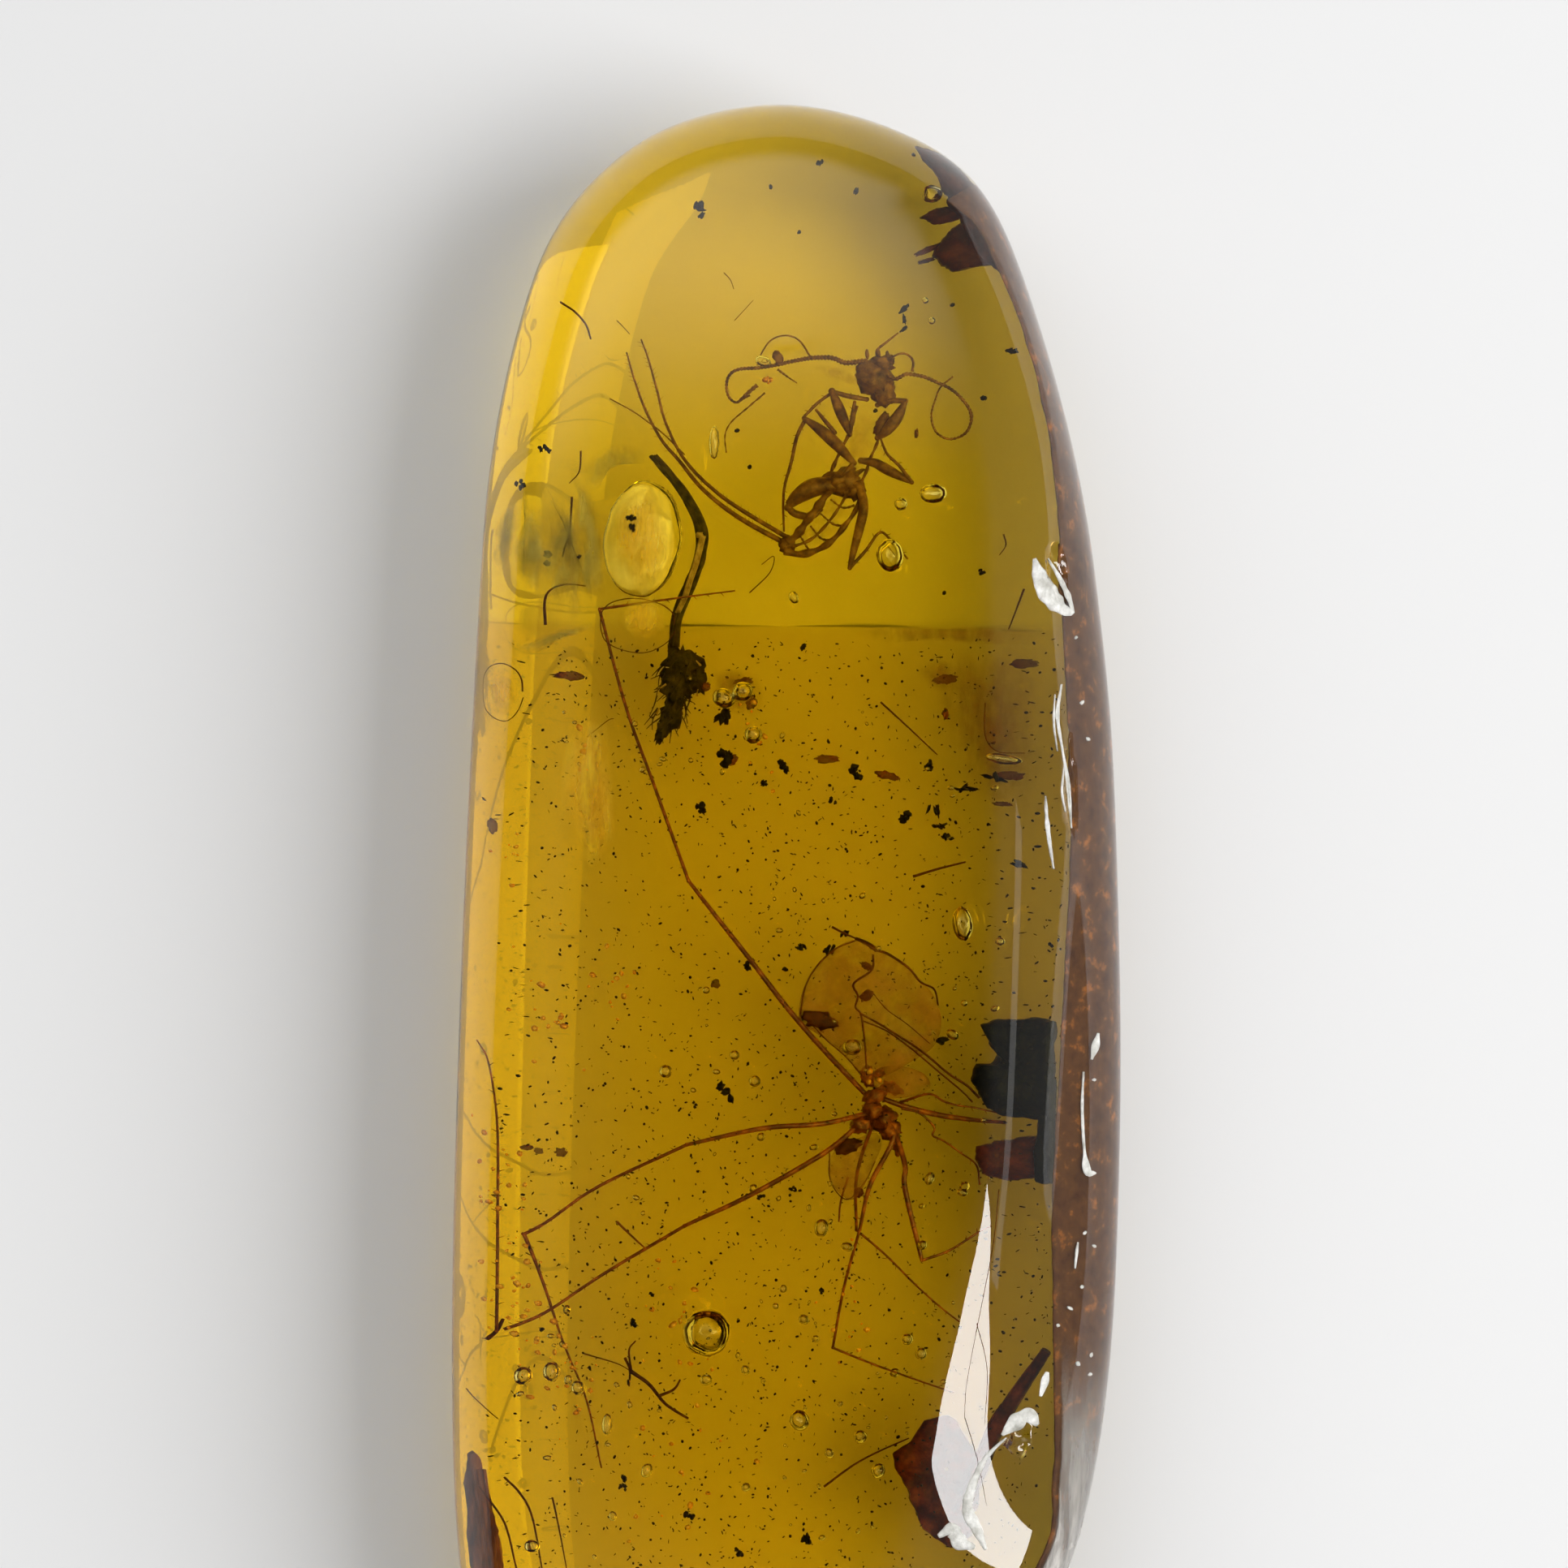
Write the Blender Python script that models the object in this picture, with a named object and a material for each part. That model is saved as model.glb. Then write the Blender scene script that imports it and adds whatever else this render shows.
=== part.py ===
"""Insect in amber: a polished tongue of amber with a crane fly, a cricket and plant bits inside.

The stone lies on its flat back, +Z up, with its long axis along Y. The origin is the middle
of its outline on the surface that it rests on. Lengths here are in millimetres, and each
mesh is scaled to metres as it is made.
"""
import math

import bmesh
import bpy
from mathutils import Vector

MM = 0.001

# The stone
CROWN_HEIGHT = 7.2
GIRDLE_HEIGHT = 3.5
PARTING_GAP = 0.3
GIRDLE_POINTS = 96
OUTLINE = (
    (0.0, 21.15), (2.17, 20.71), (3.89, 19.91), (4.77, 19.11), (5.53, 17.71), (6.59, 14.51),
    (7.35, 11.31), (7.79, 8.11), (8.07, 4.91), (8.25, -1.2), (8.21, -5.5), (8.05, -9.1),
    (7.69, -12.1), (6.97, -14.9), (5.6, -17.4), (3.0, -20.1), (-0.9, -21.15), (-4.8, -20.2),
    (-7.1, -17.9), (-8.0, -15.3), (-8.25, -9.5), (-8.01, 0.11), (-7.53, 9.7), (-7.21, 12.9),
    (-6.57, 15.8), (-5.7, 18.1), (-4.07, 19.9), (-2.3, 20.8),
)

# The side wall on the right, ground flat and seen from above: its width in plan along Y
WALL_WIDTH = ((21.0, 0.5), (18.7, 0.7), (16.0, 0.5), (13.0, 0.55), (8.0, 1.0), (3.0, 1.15),
              (-1.0, 1.45), (-5.7, 1.65), (-9.6, 1.4), (-12.3, 1.05), (-15.0, 0.7),
              (-21.0, 0.9))
WALL_SHARE = ((21.0, 0.0), (20.3, 0.2), (18.5, 1.0), (-14.0, 1.0), (-18.0, 0.3), (-21.0, 0.0))
WALL_BOW = 2.2
EDGE_ROUND = 2.3
EDGE_ARC = math.radians(80)
SIDE_STEPS = 7

# The polished face rolls down towards the wall from this line: X along Y
ROLL_START = ((21.0, 1.5), (16.0, 4.2), (12.0, 5.1), (8.0, 5.3), (-4.5, 5.2), (-7.5, 4.4),
              (-11.0, 3.0), (-15.0, 2.0), (-21.0, 0.5))
ROLL_DEPTH = 0.9
DOME_DROP = 0.8
DOME_CENTRE_X = 0.8
END_START = 12.0
END_DROP = 0.8
SPINE_REACH = 14.0
FACE_RINGS = (0.22, 0.46, 0.72)

# The back
BACK_ROUND_LEFT = 2.8
BACK_ROUND_RIGHT = 1.5
BACK_STEPS = 4

# The pocket that the two halves close over the inclusions
POCKET_FLOOR = 1.9
POCKET_ROOF = 5.4
POCKET_WALL = 0.35
POCKET_CLEARANCE = 0.3

# Chips along the edge of the wall: place, size and turn about Z
CHIPS = (
    ((6.75, 9.3, 6.2), (0.5, 0.9, 0.42), 12),
    ((7.0, 4.2, 6.05), (0.26, 1.5, 0.26), 3),
    ((5.75, -11.3, 6.65), (0.5, 0.62, 0.36), -30),
)

# Insects
LEG_SIDES = 6
KNEE_OVERLAP = 0.7
CRANE_FLY_HEIGHT = 3.7
CRICKET_HEIGHT = 4.1


def clear_scene():
    for thing in list(bpy.data.objects):
        bpy.data.objects.remove(thing, do_unlink=True)


def curve_value(stations, at):
    """Value of a smooth curve through (position, value) stations, held flat past its ends."""
    ordered = sorted(stations)
    if at <= ordered[0][0]:
        return ordered[0][1]
    if at >= ordered[-1][0]:
        return ordered[-1][1]
    for index in range(len(ordered) - 1):
        if at <= ordered[index + 1][0]:
            break
    before = ordered[max(index - 1, 0)]
    low, high = ordered[index], ordered[index + 1]
    after = ordered[min(index + 2, len(ordered) - 1)]
    span = high[0] - low[0]
    slope_low = (high[1] - before[1]) / (high[0] - before[0])
    slope_high = (after[1] - low[1]) / (after[0] - low[0])
    share = (at - low[0]) / span
    square, cube = share ** 2, share ** 3
    return (low[1] * (2 * cube - 3 * square + 1) + slope_low * span * (cube - 2 * square + share)
            + high[1] * (3 * square - 2 * cube) + slope_high * span * (cube - square))


def smooth_path(points, count, closed=False):
    """Evenly spaced points on a curve that runs smoothly through the given points."""
    given = [Vector(point) for point in points]
    total = len(given)
    fine = []
    for index in range(total if closed else total - 1):
        if closed:
            p0, p1, p2, p3 = (given[(index + step) % total] for step in (-1, 0, 1, 2))
        else:
            p1, p2 = given[index], given[index + 1]
            p0 = given[index - 1] if index else 2 * p1 - p2
            p3 = given[index + 2] if index + 2 < total else 2 * p2 - p1
        for step in range(12):
            t = step / 12
            fine.append(0.5 * (2 * p1 + (p2 - p0) * t + (2 * p0 - 5 * p1 + 4 * p2 - p3) * t ** 2
                               + (3 * p1 - p0 - 3 * p2 + p3) * t ** 3))
    fine.append(given[0].copy() if closed else given[-1].copy())
    lengths = [0.0]
    for here, there in zip(fine, fine[1:]):
        lengths.append(lengths[-1] + (there - here).length)
    result = []
    index = 0
    for step in range(count):
        reach = lengths[-1] * step / (count if closed else count - 1)
        while index < len(fine) - 2 and lengths[index + 1] < reach:
            index += 1
        span = lengths[index + 1] - lengths[index]
        result.append(fine[index].lerp(fine[index + 1], (reach - lengths[index]) / span))
    return result


def plain_material(name, colour, roughness):
    material = bpy.data.materials.new(name)
    material.use_nodes = True
    shader = material.node_tree.nodes["Principled BSDF"]
    shader.inputs["Base Color"].default_value = (*colour, 1.0)
    shader.inputs["Roughness"].default_value = roughness
    return material


def add_object(name, bm, material=None, smooth_angle=None):
    """Turn a mesh drawn in millimetres into a named object in metres."""
    bmesh.ops.scale(bm, vec=(MM, MM, MM), verts=bm.verts)
    bmesh.ops.recalc_face_normals(bm, faces=bm.faces)
    mesh = bpy.data.meshes.new(name)
    bm.to_mesh(mesh)
    bm.free()
    if smooth_angle:
        mesh.shade_smooth()
        mesh.set_sharp_from_angle(angle=math.radians(smooth_angle))
    thing = bpy.data.objects.new(name, mesh)
    if material:
        mesh.materials.append(material)
    bpy.context.scene.collection.objects.link(thing)
    return thing


def hide_helper(thing):
    thing.hide_render = True
    thing.display_type = "WIRE"


def boolean(thing, operation, helpers, name):
    """Join helper solids to a solid, or cut them out of it."""
    group = bpy.data.collections.new(name)
    for helper in helpers:
        hide_helper(helper)
        group.objects.link(helper)
    modifier = thing.modifiers.new(name, "BOOLEAN")
    modifier.operation = operation
    modifier.operand_type = "COLLECTION"
    modifier.collection = group
    modifier.solver = "EXACT"


def bridge(bm, low, high):
    for index in range(len(low)):
        after = (index + 1) % len(low)
        bm.faces.new((low[index], low[after], high[after], high[index]))


def add_ring(bm, points):
    return [bm.verts.new(point) for point in points]


class Stone:
    """The outline of the stone at its girdle, and the heights of its faces."""

    def __init__(self):
        ring = smooth_path(OUTLINE, GIRDLE_POINTS, closed=True)
        middle = Vector(((min(p.x for p in ring) + max(p.x for p in ring)) / 2,
                         (min(p.y for p in ring) + max(p.y for p in ring)) / 2))
        self.ring = [point - middle for point in ring]
        self.inward = []
        for index, point in enumerate(self.ring):
            run = self.ring[(index + 1) % GIRDLE_POINTS] - self.ring[index - 1]
            self.inward.append(Vector((run.y, -run.x)).normalized())
        self.right = [(point.y, point.x) for point in self.ring if point.x > 0]

    def wall_share(self, index):
        """1 where the flat side wall runs, 0 where the edge is rounded."""
        facing = min(max(-self.inward[index].x * 3, 0), 1)
        return facing * min(max(curve_value(WALL_SHARE, self.ring[index].y), 0), 1)

    def edge_width(self, index):
        share = self.wall_share(index)
        wall = curve_value(WALL_WIDTH, self.ring[index].y)
        return share * wall + (1 - share) * EDGE_ROUND

    def back_width(self, index):
        facing = (1 - self.inward[index].x) / 2
        return facing * BACK_ROUND_RIGHT + (1 - facing) * BACK_ROUND_LEFT

    def face_height(self, x, y):
        """Height of the polished face: a low dome that rolls down to the wall and the ends."""
        side = (x - DOME_CENTRE_X) / 8.0
        height = CROWN_HEIGHT - DOME_DROP * side ** 2
        past_end = max(abs(y) - END_START, 0) / (21.0 - END_START)
        height -= END_DROP * past_end ** 2
        start = curve_value(ROLL_START, y)
        edge = curve_value(self.right, y) - curve_value(WALL_WIDTH, y)
        rolled = max(x - start, 0) / max(edge - start, 1.0)
        return height - ROLL_DEPTH * min(rolled, 1.4) ** 2

    def inset(self, index, distance):
        return self.ring[index] + self.inward[index] * distance

    def side_point(self, index, step):
        """A point on the side above the girdle, from step 0 there to 1 at the face."""
        share = self.wall_share(index)
        arc = step * EDGE_ARC
        round_across = (1 - math.cos(arc)) / (1 - math.cos(EDGE_ARC))
        round_up = math.sin(arc) / math.sin(EDGE_ARC)
        across = share * step ** WALL_BOW + (1 - share) * round_across
        up = share * step + (1 - share) * round_up
        width = self.edge_width(index)
        edge = self.inset(index, width)
        base = GIRDLE_HEIGHT + PARTING_GAP / 2
        top = self.face_height(edge.x, edge.y)
        place = self.inset(index, width * across)
        return Vector((place.x, place.y, base + (top - base) * up))

    def back_point(self, index, step):
        """A point on the rounded side below the girdle, from step 0 there to 1 at the back."""
        arc = step * math.pi / 2
        place = self.inset(index, self.back_width(index) * (1 - math.cos(arc)))
        base = GIRDLE_HEIGHT - PARTING_GAP / 2
        return Vector((place.x, place.y, base * (1 - math.sin(arc))))

    def pocket_distance(self, index):
        """Distance of the pocket's wall from the girdle, clear of the side at its roof."""
        step = 0.0
        while self.side_point(index, step).z < POCKET_ROOF:
            step += 0.02
        place = self.side_point(index, step)
        return (Vector((place.x, place.y)) - self.ring[index]).length + POCKET_WALL

    def inside_pocket(self, point):
        """Pull a plan point in from the pocket's wall where it comes too near it."""
        place = Vector(point)
        index = min(range(GIRDLE_POINTS), key=lambda near: (self.ring[near] - place).length)
        depth = (place - self.ring[index]).dot(self.inward[index])
        short = self.pocket_distance(index) + POCKET_CLEARANCE - depth
        return place + self.inward[index] * max(short, 0)

    def towards_spine(self, point, share):
        """Move a plan point towards the stone's long middle line by a share of the way."""
        spine = Vector((0.0, min(max(point.y, -SPINE_REACH), SPINE_REACH)))
        return Vector((point.x, point.y)).lerp(spine, share)


def close_with_ladder(bm, ring):
    """Fill a long ring with rungs between its right side and its left side."""
    total = len(ring)
    top = max(range(total), key=lambda index: ring[index].co.y)
    for step in range(total // 2):
        right, below = ring[(top + step) % total], ring[(top + step + 1) % total]
        left, under = ring[(top - step) % total], ring[(top - step - 1) % total]
        corners = []
        for vert in (right, below, under, left):
            if vert not in corners:
                corners.append(vert)
        bm.faces.new(corners)


def cut_pocket(bm, stone, parting_ring, parting_height, far_height):
    """Open a pocket from the parting face of a half down to its far height."""
    distances = [stone.pocket_distance(index) for index in range(GIRDLE_POINTS)]
    mouth, far = (
        add_ring(bm, [(*stone.inset(index, distances[index]), height)
                      for index in range(GIRDLE_POINTS)])
        for height in (parting_height, far_height))
    bridge(bm, parting_ring, mouth)
    bridge(bm, mouth, far)
    close_with_ladder(bm, far)


def make_amber_upper(stone, material):
    bm = bmesh.new()
    indexes = range(GIRDLE_POINTS)
    rings = [add_ring(bm, [stone.side_point(index, step / SIDE_STEPS) for index in indexes])
             for step in range(SIDE_STEPS + 1)]
    rim = [vert.co.copy() for vert in rings[-1]]
    for share in FACE_RINGS:
        plan = [stone.towards_spine(point, share) for point in rim]
        rings.append(add_ring(bm, [(p.x, p.y, stone.face_height(p.x, p.y)) for p in plan]))
    for low, high in zip(rings, rings[1:]):
        bridge(bm, low, high)
    close_with_ladder(bm, rings[-1])
    cut_pocket(bm, stone, rings[0], GIRDLE_HEIGHT + PARTING_GAP / 2, POCKET_ROOF)
    upper = add_object("amber_upper", bm, material, smooth_angle=28)
    boolean(upper, "DIFFERENCE", [make_chip(*chip) for chip in CHIPS], "chips")


def make_chip(place, size, turn):
    bm = bmesh.new()
    bmesh.ops.create_icosphere(bm, subdivisions=2, radius=1.0)
    bmesh.ops.scale(bm, vec=size, verts=bm.verts)
    bmesh.ops.rotate(bm, verts=bm.verts, cent=(0, 0, 0),
                     matrix=Vector((0, 0, 1)).rotation_difference(Vector((0.5, 0, 1))).to_matrix())
    chip = add_object("chip_cutter", bm)
    chip.location = Vector(place) * MM
    chip.rotation_euler.z = math.radians(turn)
    return chip


def make_amber_lower(stone, material):
    bm = bmesh.new()
    indexes = range(GIRDLE_POINTS)
    rings = [add_ring(bm, [stone.back_point(index, step / BACK_STEPS) for index in indexes])
             for step in range(BACK_STEPS + 1)]
    for low, high in zip(rings, rings[1:]):
        bridge(bm, low, high)
    close_with_ladder(bm, rings[-1])
    cut_pocket(bm, stone, rings[0], GIRDLE_HEIGHT - PARTING_GAP / 2, POCKET_FLOOR)
    add_object("amber_lower", bm, material, smooth_angle=28)


def limb_mesh(points, radii, sides=LEG_SIDES):
    """A closed tube along the points, its radius given at each of them."""
    bm = bmesh.new()
    places = [Vector(point) for point in points]
    rings = []
    side = None
    for index, place in enumerate(places):
        before = places[max(index - 1, 0)]
        after = places[min(index + 1, len(places) - 1)]
        run = (after - before).normalized()
        if side is None:
            side = run.cross(Vector((0.03, 0.05, 1))).normalized()
        side = (side - run * side.dot(run)).normalized()
        up = run.cross(side)
        turn = [2 * math.pi * step / sides for step in range(sides)]
        rings.append(add_ring(bm, [place + radii[index] * (side * math.cos(a) + up * math.sin(a))
                                   for a in turn]))
    for low, high in zip(rings, rings[1:]):
        bridge(bm, low, high)
    bm.faces.new(rings[0])
    bm.faces.new(list(reversed(rings[-1])))
    return bm


def limb(name, points, thick, thin, count=None):
    """A limb, feeler or tail thread that tapers from thick to thin along its points."""
    path = smooth_path(points, count) if count else points
    steps = len(path) - 1
    radii = [thick + (thin - thick) * index / steps for index in range(steps + 1)]
    return add_object(name, limb_mesh(path, radii))


def jointed_leg(name, segments):
    """A leg of straight or bowed segments, each with its points and its two radii.

    Each segment runs a little past its first joint, so that it joins the one before it.
    """
    parts = []
    for number, (path, thick, thin) in enumerate(segments):
        points = [Vector(point) for point in path]
        if number:
            points[0] += (points[0] - points[1]).normalized() * thick * KNEE_OVERLAP
        parts.append(limb(f"{name}_{number}", points, thick, thin))
    return parts


def blob(name, place, size, turn=0.0, detail=2):
    """A rounded lump with the given half sizes, turned about Z in degrees."""
    bm = bmesh.new()
    bmesh.ops.create_icosphere(bm, subdivisions=detail, radius=1.0)
    bmesh.ops.scale(bm, vec=size, verts=bm.verts)
    lump = add_object(name, bm)
    lump.location = Vector(place) * MM
    lump.rotation_euler.z = math.radians(turn)
    return lump


def plate_mesh(outline, low, high, tilt=(0.0, 0.0)):
    """A flat piece with the given outline, leaning by its rise along X and along Y."""
    bm = bmesh.new()
    middle = sum((Vector(point) for point in outline), Vector((0.0, 0.0))) / len(outline)

    def level(x, y, height):
        return (x, y, height + (x - middle.x) * tilt[0] + (y - middle.y) * tilt[1])

    under = [bm.verts.new(level(x, y, low)) for x, y in outline]
    over = [bm.verts.new(level(x, y, high)) for x, y in outline]
    bm.faces.new(reversed(under))
    bm.faces.new(over)
    bridge(bm, under, over)
    return bm


def make_crane_fly(material):
    """The large fly of the lower layer: a small body with long thin legs and two wings."""
    z = CRANE_FLY_HEIGHT
    femur, knee, shin, foot = 0.075, 0.05, 0.045, 0.03
    body = blob("crane_fly", (2.19, -3.45, z), (0.34, 0.42, 0.34), 25)
    body.data.materials.append(material)
    parts = [
        blob("fly_head", (2.0, -2.95, z + 0.05), (0.22, 0.2, 0.2)),
        limb("fly_abdomen", [(2.3, -3.6, z), (2.25, -4.3, z - 0.1), (1.95, -5.0, z - 0.2),
                             (1.67, -5.5, z - 0.3)], 0.26, 0.09, 6),
        limb("fly_beak", [(2.0, -2.95, z), (1.85, -2.6, z)], 0.07, 0.04),
        *jointed_leg("fly_leg_left_fore", [
            ([(2.1, -3.4, z), (0.3, -1.45, z + 0.5), (-0.95, 0.15, z + 0.7),
              (-2.4, 2.0, z + 0.75)], femur, knee),
            ([(-2.4, 2.0, z + 0.75), (-3.25, 4.35, z + 0.4), (-3.95, 6.3, z + 0.15),
              (-4.6, 8.7, z - 0.1)], shin, shin),
            ([(-4.6, 8.7, z - 0.1), (-2.85, 8.95, z - 0.2), (-1.27, 9.15, z - 0.3)],
             foot, foot)]),
        *jointed_leg("fly_leg_left_middle", [
            ([(2.1, -3.7, z), (0.9, -3.98, z + 0.4), (-0.6, -4.1, z + 0.6),
              (-2.45, -4.5, z + 0.6)], femur, knee),
            ([(-2.45, -4.5, z + 0.6), (-4.75, -5.6, z + 0.2), (-6.45, -6.7, z - 0.2)],
             shin, shin),
            ([(-6.45, -6.7, z - 0.2), (-5.57, -9.15, z - 0.5), (-4.93, -10.75, z - 0.7),
              (-4.55, -12.45, z - 0.8)], foot, foot)]),
        *jointed_leg("fly_leg_left_hind", [
            ([(2.1, -3.8, z), (0.99, -4.67, z + 0.1), (-0.9, -5.75, z + 0.2),
              (-2.5, -6.5, z + 0.1)], femur, knee),
            ([(-2.5, -6.5, z + 0.1), (-4.6, -7.75, z - 0.2), (-6.85, -9.0, z - 0.5)],
             shin, shin),
            ([(-6.85, -9.0, z - 0.5), (-6.95, -6.6, z - 0.4), (-6.95, -4.0, z - 0.3),
              (-7.0, -2.6, z - 0.2)], foot, foot)]),
        *jointed_leg("fly_leg_right_hind", [
            ([(2.3, -3.75, z), (2.65, -4.3, z + 0.2), (2.07, -5.5, z + 0.3),
              (1.81, -6.6, z + 0.2)], femur, knee),
            ([(1.81, -6.6, z + 0.2), (1.43, -8.0, z - 0.1), (1.15, -9.5, z - 0.3)],
             shin, shin),
            ([(1.15, -9.5, z - 0.3), (2.21, -9.93, z - 0.3), (3.3, -10.4, z - 0.3)],
             foot, foot)]),
        *jointed_leg("fly_leg_right_middle", [
            ([(2.35, -3.7, z), (2.8, -4.4, z + 0.4), (2.97, -5.63, z + 0.5),
              (3.35, -7.35, z + 0.4)], femur, knee),
            ([(3.35, -7.35, z + 0.4), (4.05, -7.09, z + 0.3), (5.01, -6.51, z + 0.2)],
             shin, foot)]),
        *jointed_leg("fly_leg_right_fore", [
            ([(2.2, -3.8, z), (1.75, -5.2, z - 0.5), (1.73, -6.6, z - 0.7)], femur, knee),
            ([(1.73, -6.6, z - 0.7), (2.45, -7.21, z - 0.8), (4.25, -8.85, z - 0.9)],
             shin, foot)]),
        limb("fly_folded_leg_low", [(2.2, -3.35, z), (3.1, -3.6, z - 0.3), (3.93, -3.83, z - 0.5),
                                    (4.75, -3.95, z - 0.6)], 0.08, 0.05),
        limb("fly_folded_leg_high", [(2.3, -3.15, z), (3.6, -3.27, z + 0.5),
                                     (4.25, -3.45, z + 0.7)], 0.06, 0.04),
        add_object("fly_wing_left", plate_mesh(
            smooth_path([(2.25, -3.25), (1.45, -2.55), (0.75, -1.85), (0.35, -1.0),
                         (0.63, 0.0), (1.53, 0.55), (2.63, 0.1), (3.65, -0.85),
                         (3.6, -1.8), (2.85, -2.7)], 20, closed=True),
            z - 0.04, z + 0.04, (0.05, 0.17))),
        add_object("fly_wing_right", plate_mesh(
            smooth_path([(2.35, -3.25), (3.0, -2.55), (3.9, -2.35), (4.25, -2.75),
                         (4.1, -3.15), (3.3, -3.4)], 14, closed=True),
            z - 0.16, z - 0.08, (0.12, 0.0))),
    ]
    boolean(body, "UNION", parts, "crane_fly_parts")


def make_cricket(material):
    """The slender cricket of the upper layer, with curled feelers and two long tail threads."""
    z = CRICKET_HEIGHT
    body = limb("cricket", [(2.3, 14.1, z), (2.2, 13.5, z), (1.95, 13.0, z - 0.05),
                            (1.6, 12.45, z - 0.1), (1.4, 11.9, z - 0.2)], 0.3, 0.24, 7)
    body.data.materials.append(material)
    parts = [
        blob("cricket_head", (2.2, 14.4, z + 0.05), (0.48, 0.58, 0.45), 10),
        blob("cricket_collar", (2.4, 13.75, z), (0.42, 0.3, 0.38), -15),
        limb("cricket_abdomen", [(1.45, 12.0, z - 0.2), (1.3, 11.3, z - 0.25),
                                 (1.0, 10.8, z - 0.3), (0.5, 10.45, z - 0.3),
                                 (0.0, 10.32, z - 0.3)], 0.42, 0.16, 7),
        limb("cricket_feeler_left", [(2.15, 14.6, z + 0.3), (1.85, 14.9, z + 0.4),
                                     (1.51, 14.77, z + 0.4), (0.89, 14.89, z + 0.4),
                                     (0.13, 14.77, z + 0.3), (-0.63, 14.65, z + 0.2),
                                     (-1.3, 14.5, z + 0.2), (-1.5, 14.2, z + 0.2),
                                     (-1.35, 13.85, z + 0.2)], 0.07, 0.03, 16),
        limb("cricket_feeler_right", [(2.4, 14.5, z + 0.2), (2.75, 14.35, z + 0.3),
                                      (3.4, 14.41, z + 0.4), (3.95, 14.19, z + 0.4),
                                      (4.41, 13.87, z + 0.3), (4.59, 13.4, z + 0.2),
                                      (4.41, 13.02, z), (4.05, 12.87, z - 0.2),
                                      (3.69, 13.05, z - 0.3), (3.55, 13.45, z - 0.3),
                                      (3.68, 13.95, z - 0.2), (3.9, 14.4, z - 0.1)],
             0.06, 0.028, 22),
        limb("cricket_palp", [(2.25, 14.8, z + 0.1), (2.35, 15.15, z + 0.1),
                              (2.73, 15.49, z + 0.1)], 0.05, 0.03),
        *jointed_leg("cricket_leg_right_fore", [
            ([(2.35, 13.75, z), (2.95, 13.75, z + 0.3)], 0.15, 0.1),
            ([(2.95, 13.75, z + 0.3), (2.45, 13.02, z + 0.4)], 0.09, 0.05)]),
        *jointed_leg("cricket_leg_right_middle", [
            ([(1.8, 12.5, z - 0.1), (3.05, 11.87, z + 0.2)], 0.13, 0.08),
            ([(3.05, 11.87, z + 0.2), (2.6, 12.5, z + 0.35), (2.38, 13.0, z + 0.2)],
             0.07, 0.04)]),
        *jointed_leg("cricket_leg_left_fore", [
            ([(2.1, 13.5, z), (1.6, 13.75, z + 0.2), (1.52, 13.05, z + 0.3)], 0.12, 0.09),
            ([(1.52, 13.05, z + 0.3), (1.15, 14.05, z + 0.3)], 0.08, 0.06),
            ([(1.15, 14.05, z + 0.3), (0.5, 13.48, z + 0.2)], 0.05, 0.03)]),
        *jointed_leg("cricket_leg_left_middle", [
            ([(1.75, 12.6, z - 0.1), (1.33, 12.71, z + 0.1), (0.45, 13.3, z - 0.1)], 0.15, 0.09),
            ([(0.45, 13.3, z - 0.1), (0.13, 12.3, z - 0.2), (-0.12, 11.2, z - 0.3)],
             0.06, 0.04)]),
        *jointed_leg("cricket_leg_right_hind", [
            ([(1.45, 11.95, z - 0.2), (1.85, 11.3, z + 0.1), (1.8, 10.75, z + 0.2),
              (1.6, 9.75, z + 0.2)], 0.17, 0.09),
            ([(1.6, 9.75, z + 0.2), (2.25, 10.6, z), (2.85, 10.05, z - 0.1)], 0.06, 0.04)]),
        *jointed_leg("cricket_leg_left_hind", [
            ([(1.4, 11.9, z - 0.2), (0.8, 11.85, z), (0.12, 11.45, z)], 0.2, 0.1),
            ([(0.12, 11.45, z), (0.05, 11.1, z - 0.1), (0.6, 11.0, z - 0.1)], 0.08, 0.05)]),
        limb("cricket_tail_left", [(0.1, 10.32, z - 0.3), (-1.15, 10.95, z - 0.4),
                                   (-2.05, 11.65, z - 0.4), (-2.63, 12.35, z - 0.4),
                                   (-3.07, 12.87, z - 0.4), (-3.45, 13.57, z - 0.5),
                                   (-3.71, 14.27, z - 0.5), (-3.93, 15.03, z - 0.5)],
             0.09, 0.03, 14),
        limb("cricket_tail_right", [(0.05, 10.42, z - 0.2), (-1.47, 11.39, z - 0.1),
                                    (-2.43, 12.29, z), (-2.95, 13.25, z), (-3.19, 14.13, z),
                                    (-3.39, 14.85, z), (-3.57, 15.35, z)], 0.08, 0.028, 13),
    ]
    boolean(body, "UNION", parts, "cricket_parts")


def make_plant_strand(material):
    """The bent strand beside the flat bubble, with its twig and its tuft of plant hair."""
    strand = limb("plant_strand", [(-3.25, 12.2, 2.9), (-2.69, 11.6, 3.0), (-2.35, 11.0, 3.1),
                                   (-2.13, 10.35, 3.2), (-2.2, 9.9, 3.2), (-2.43, 9.29, 3.1),
                                   (-2.69, 8.47, 2.9), (-2.77, 7.5, 2.7)], 0.09, 0.11, 14)
    strand.data.materials.append(material)
    parts = [
        blob("tuft_top", (-2.6, 7.35, 2.75), (0.5, 0.42, 0.3), 20),
        blob("tuft_middle", (-2.5, 6.75, 2.75), (0.42, 0.5, 0.28), -20),
        blob("tuft_tail", (-2.85, 5.95, 2.7), (0.25, 0.55, 0.2), -25),
    ]
    boolean(strand, "UNION", parts, "strand_parts")


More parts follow.
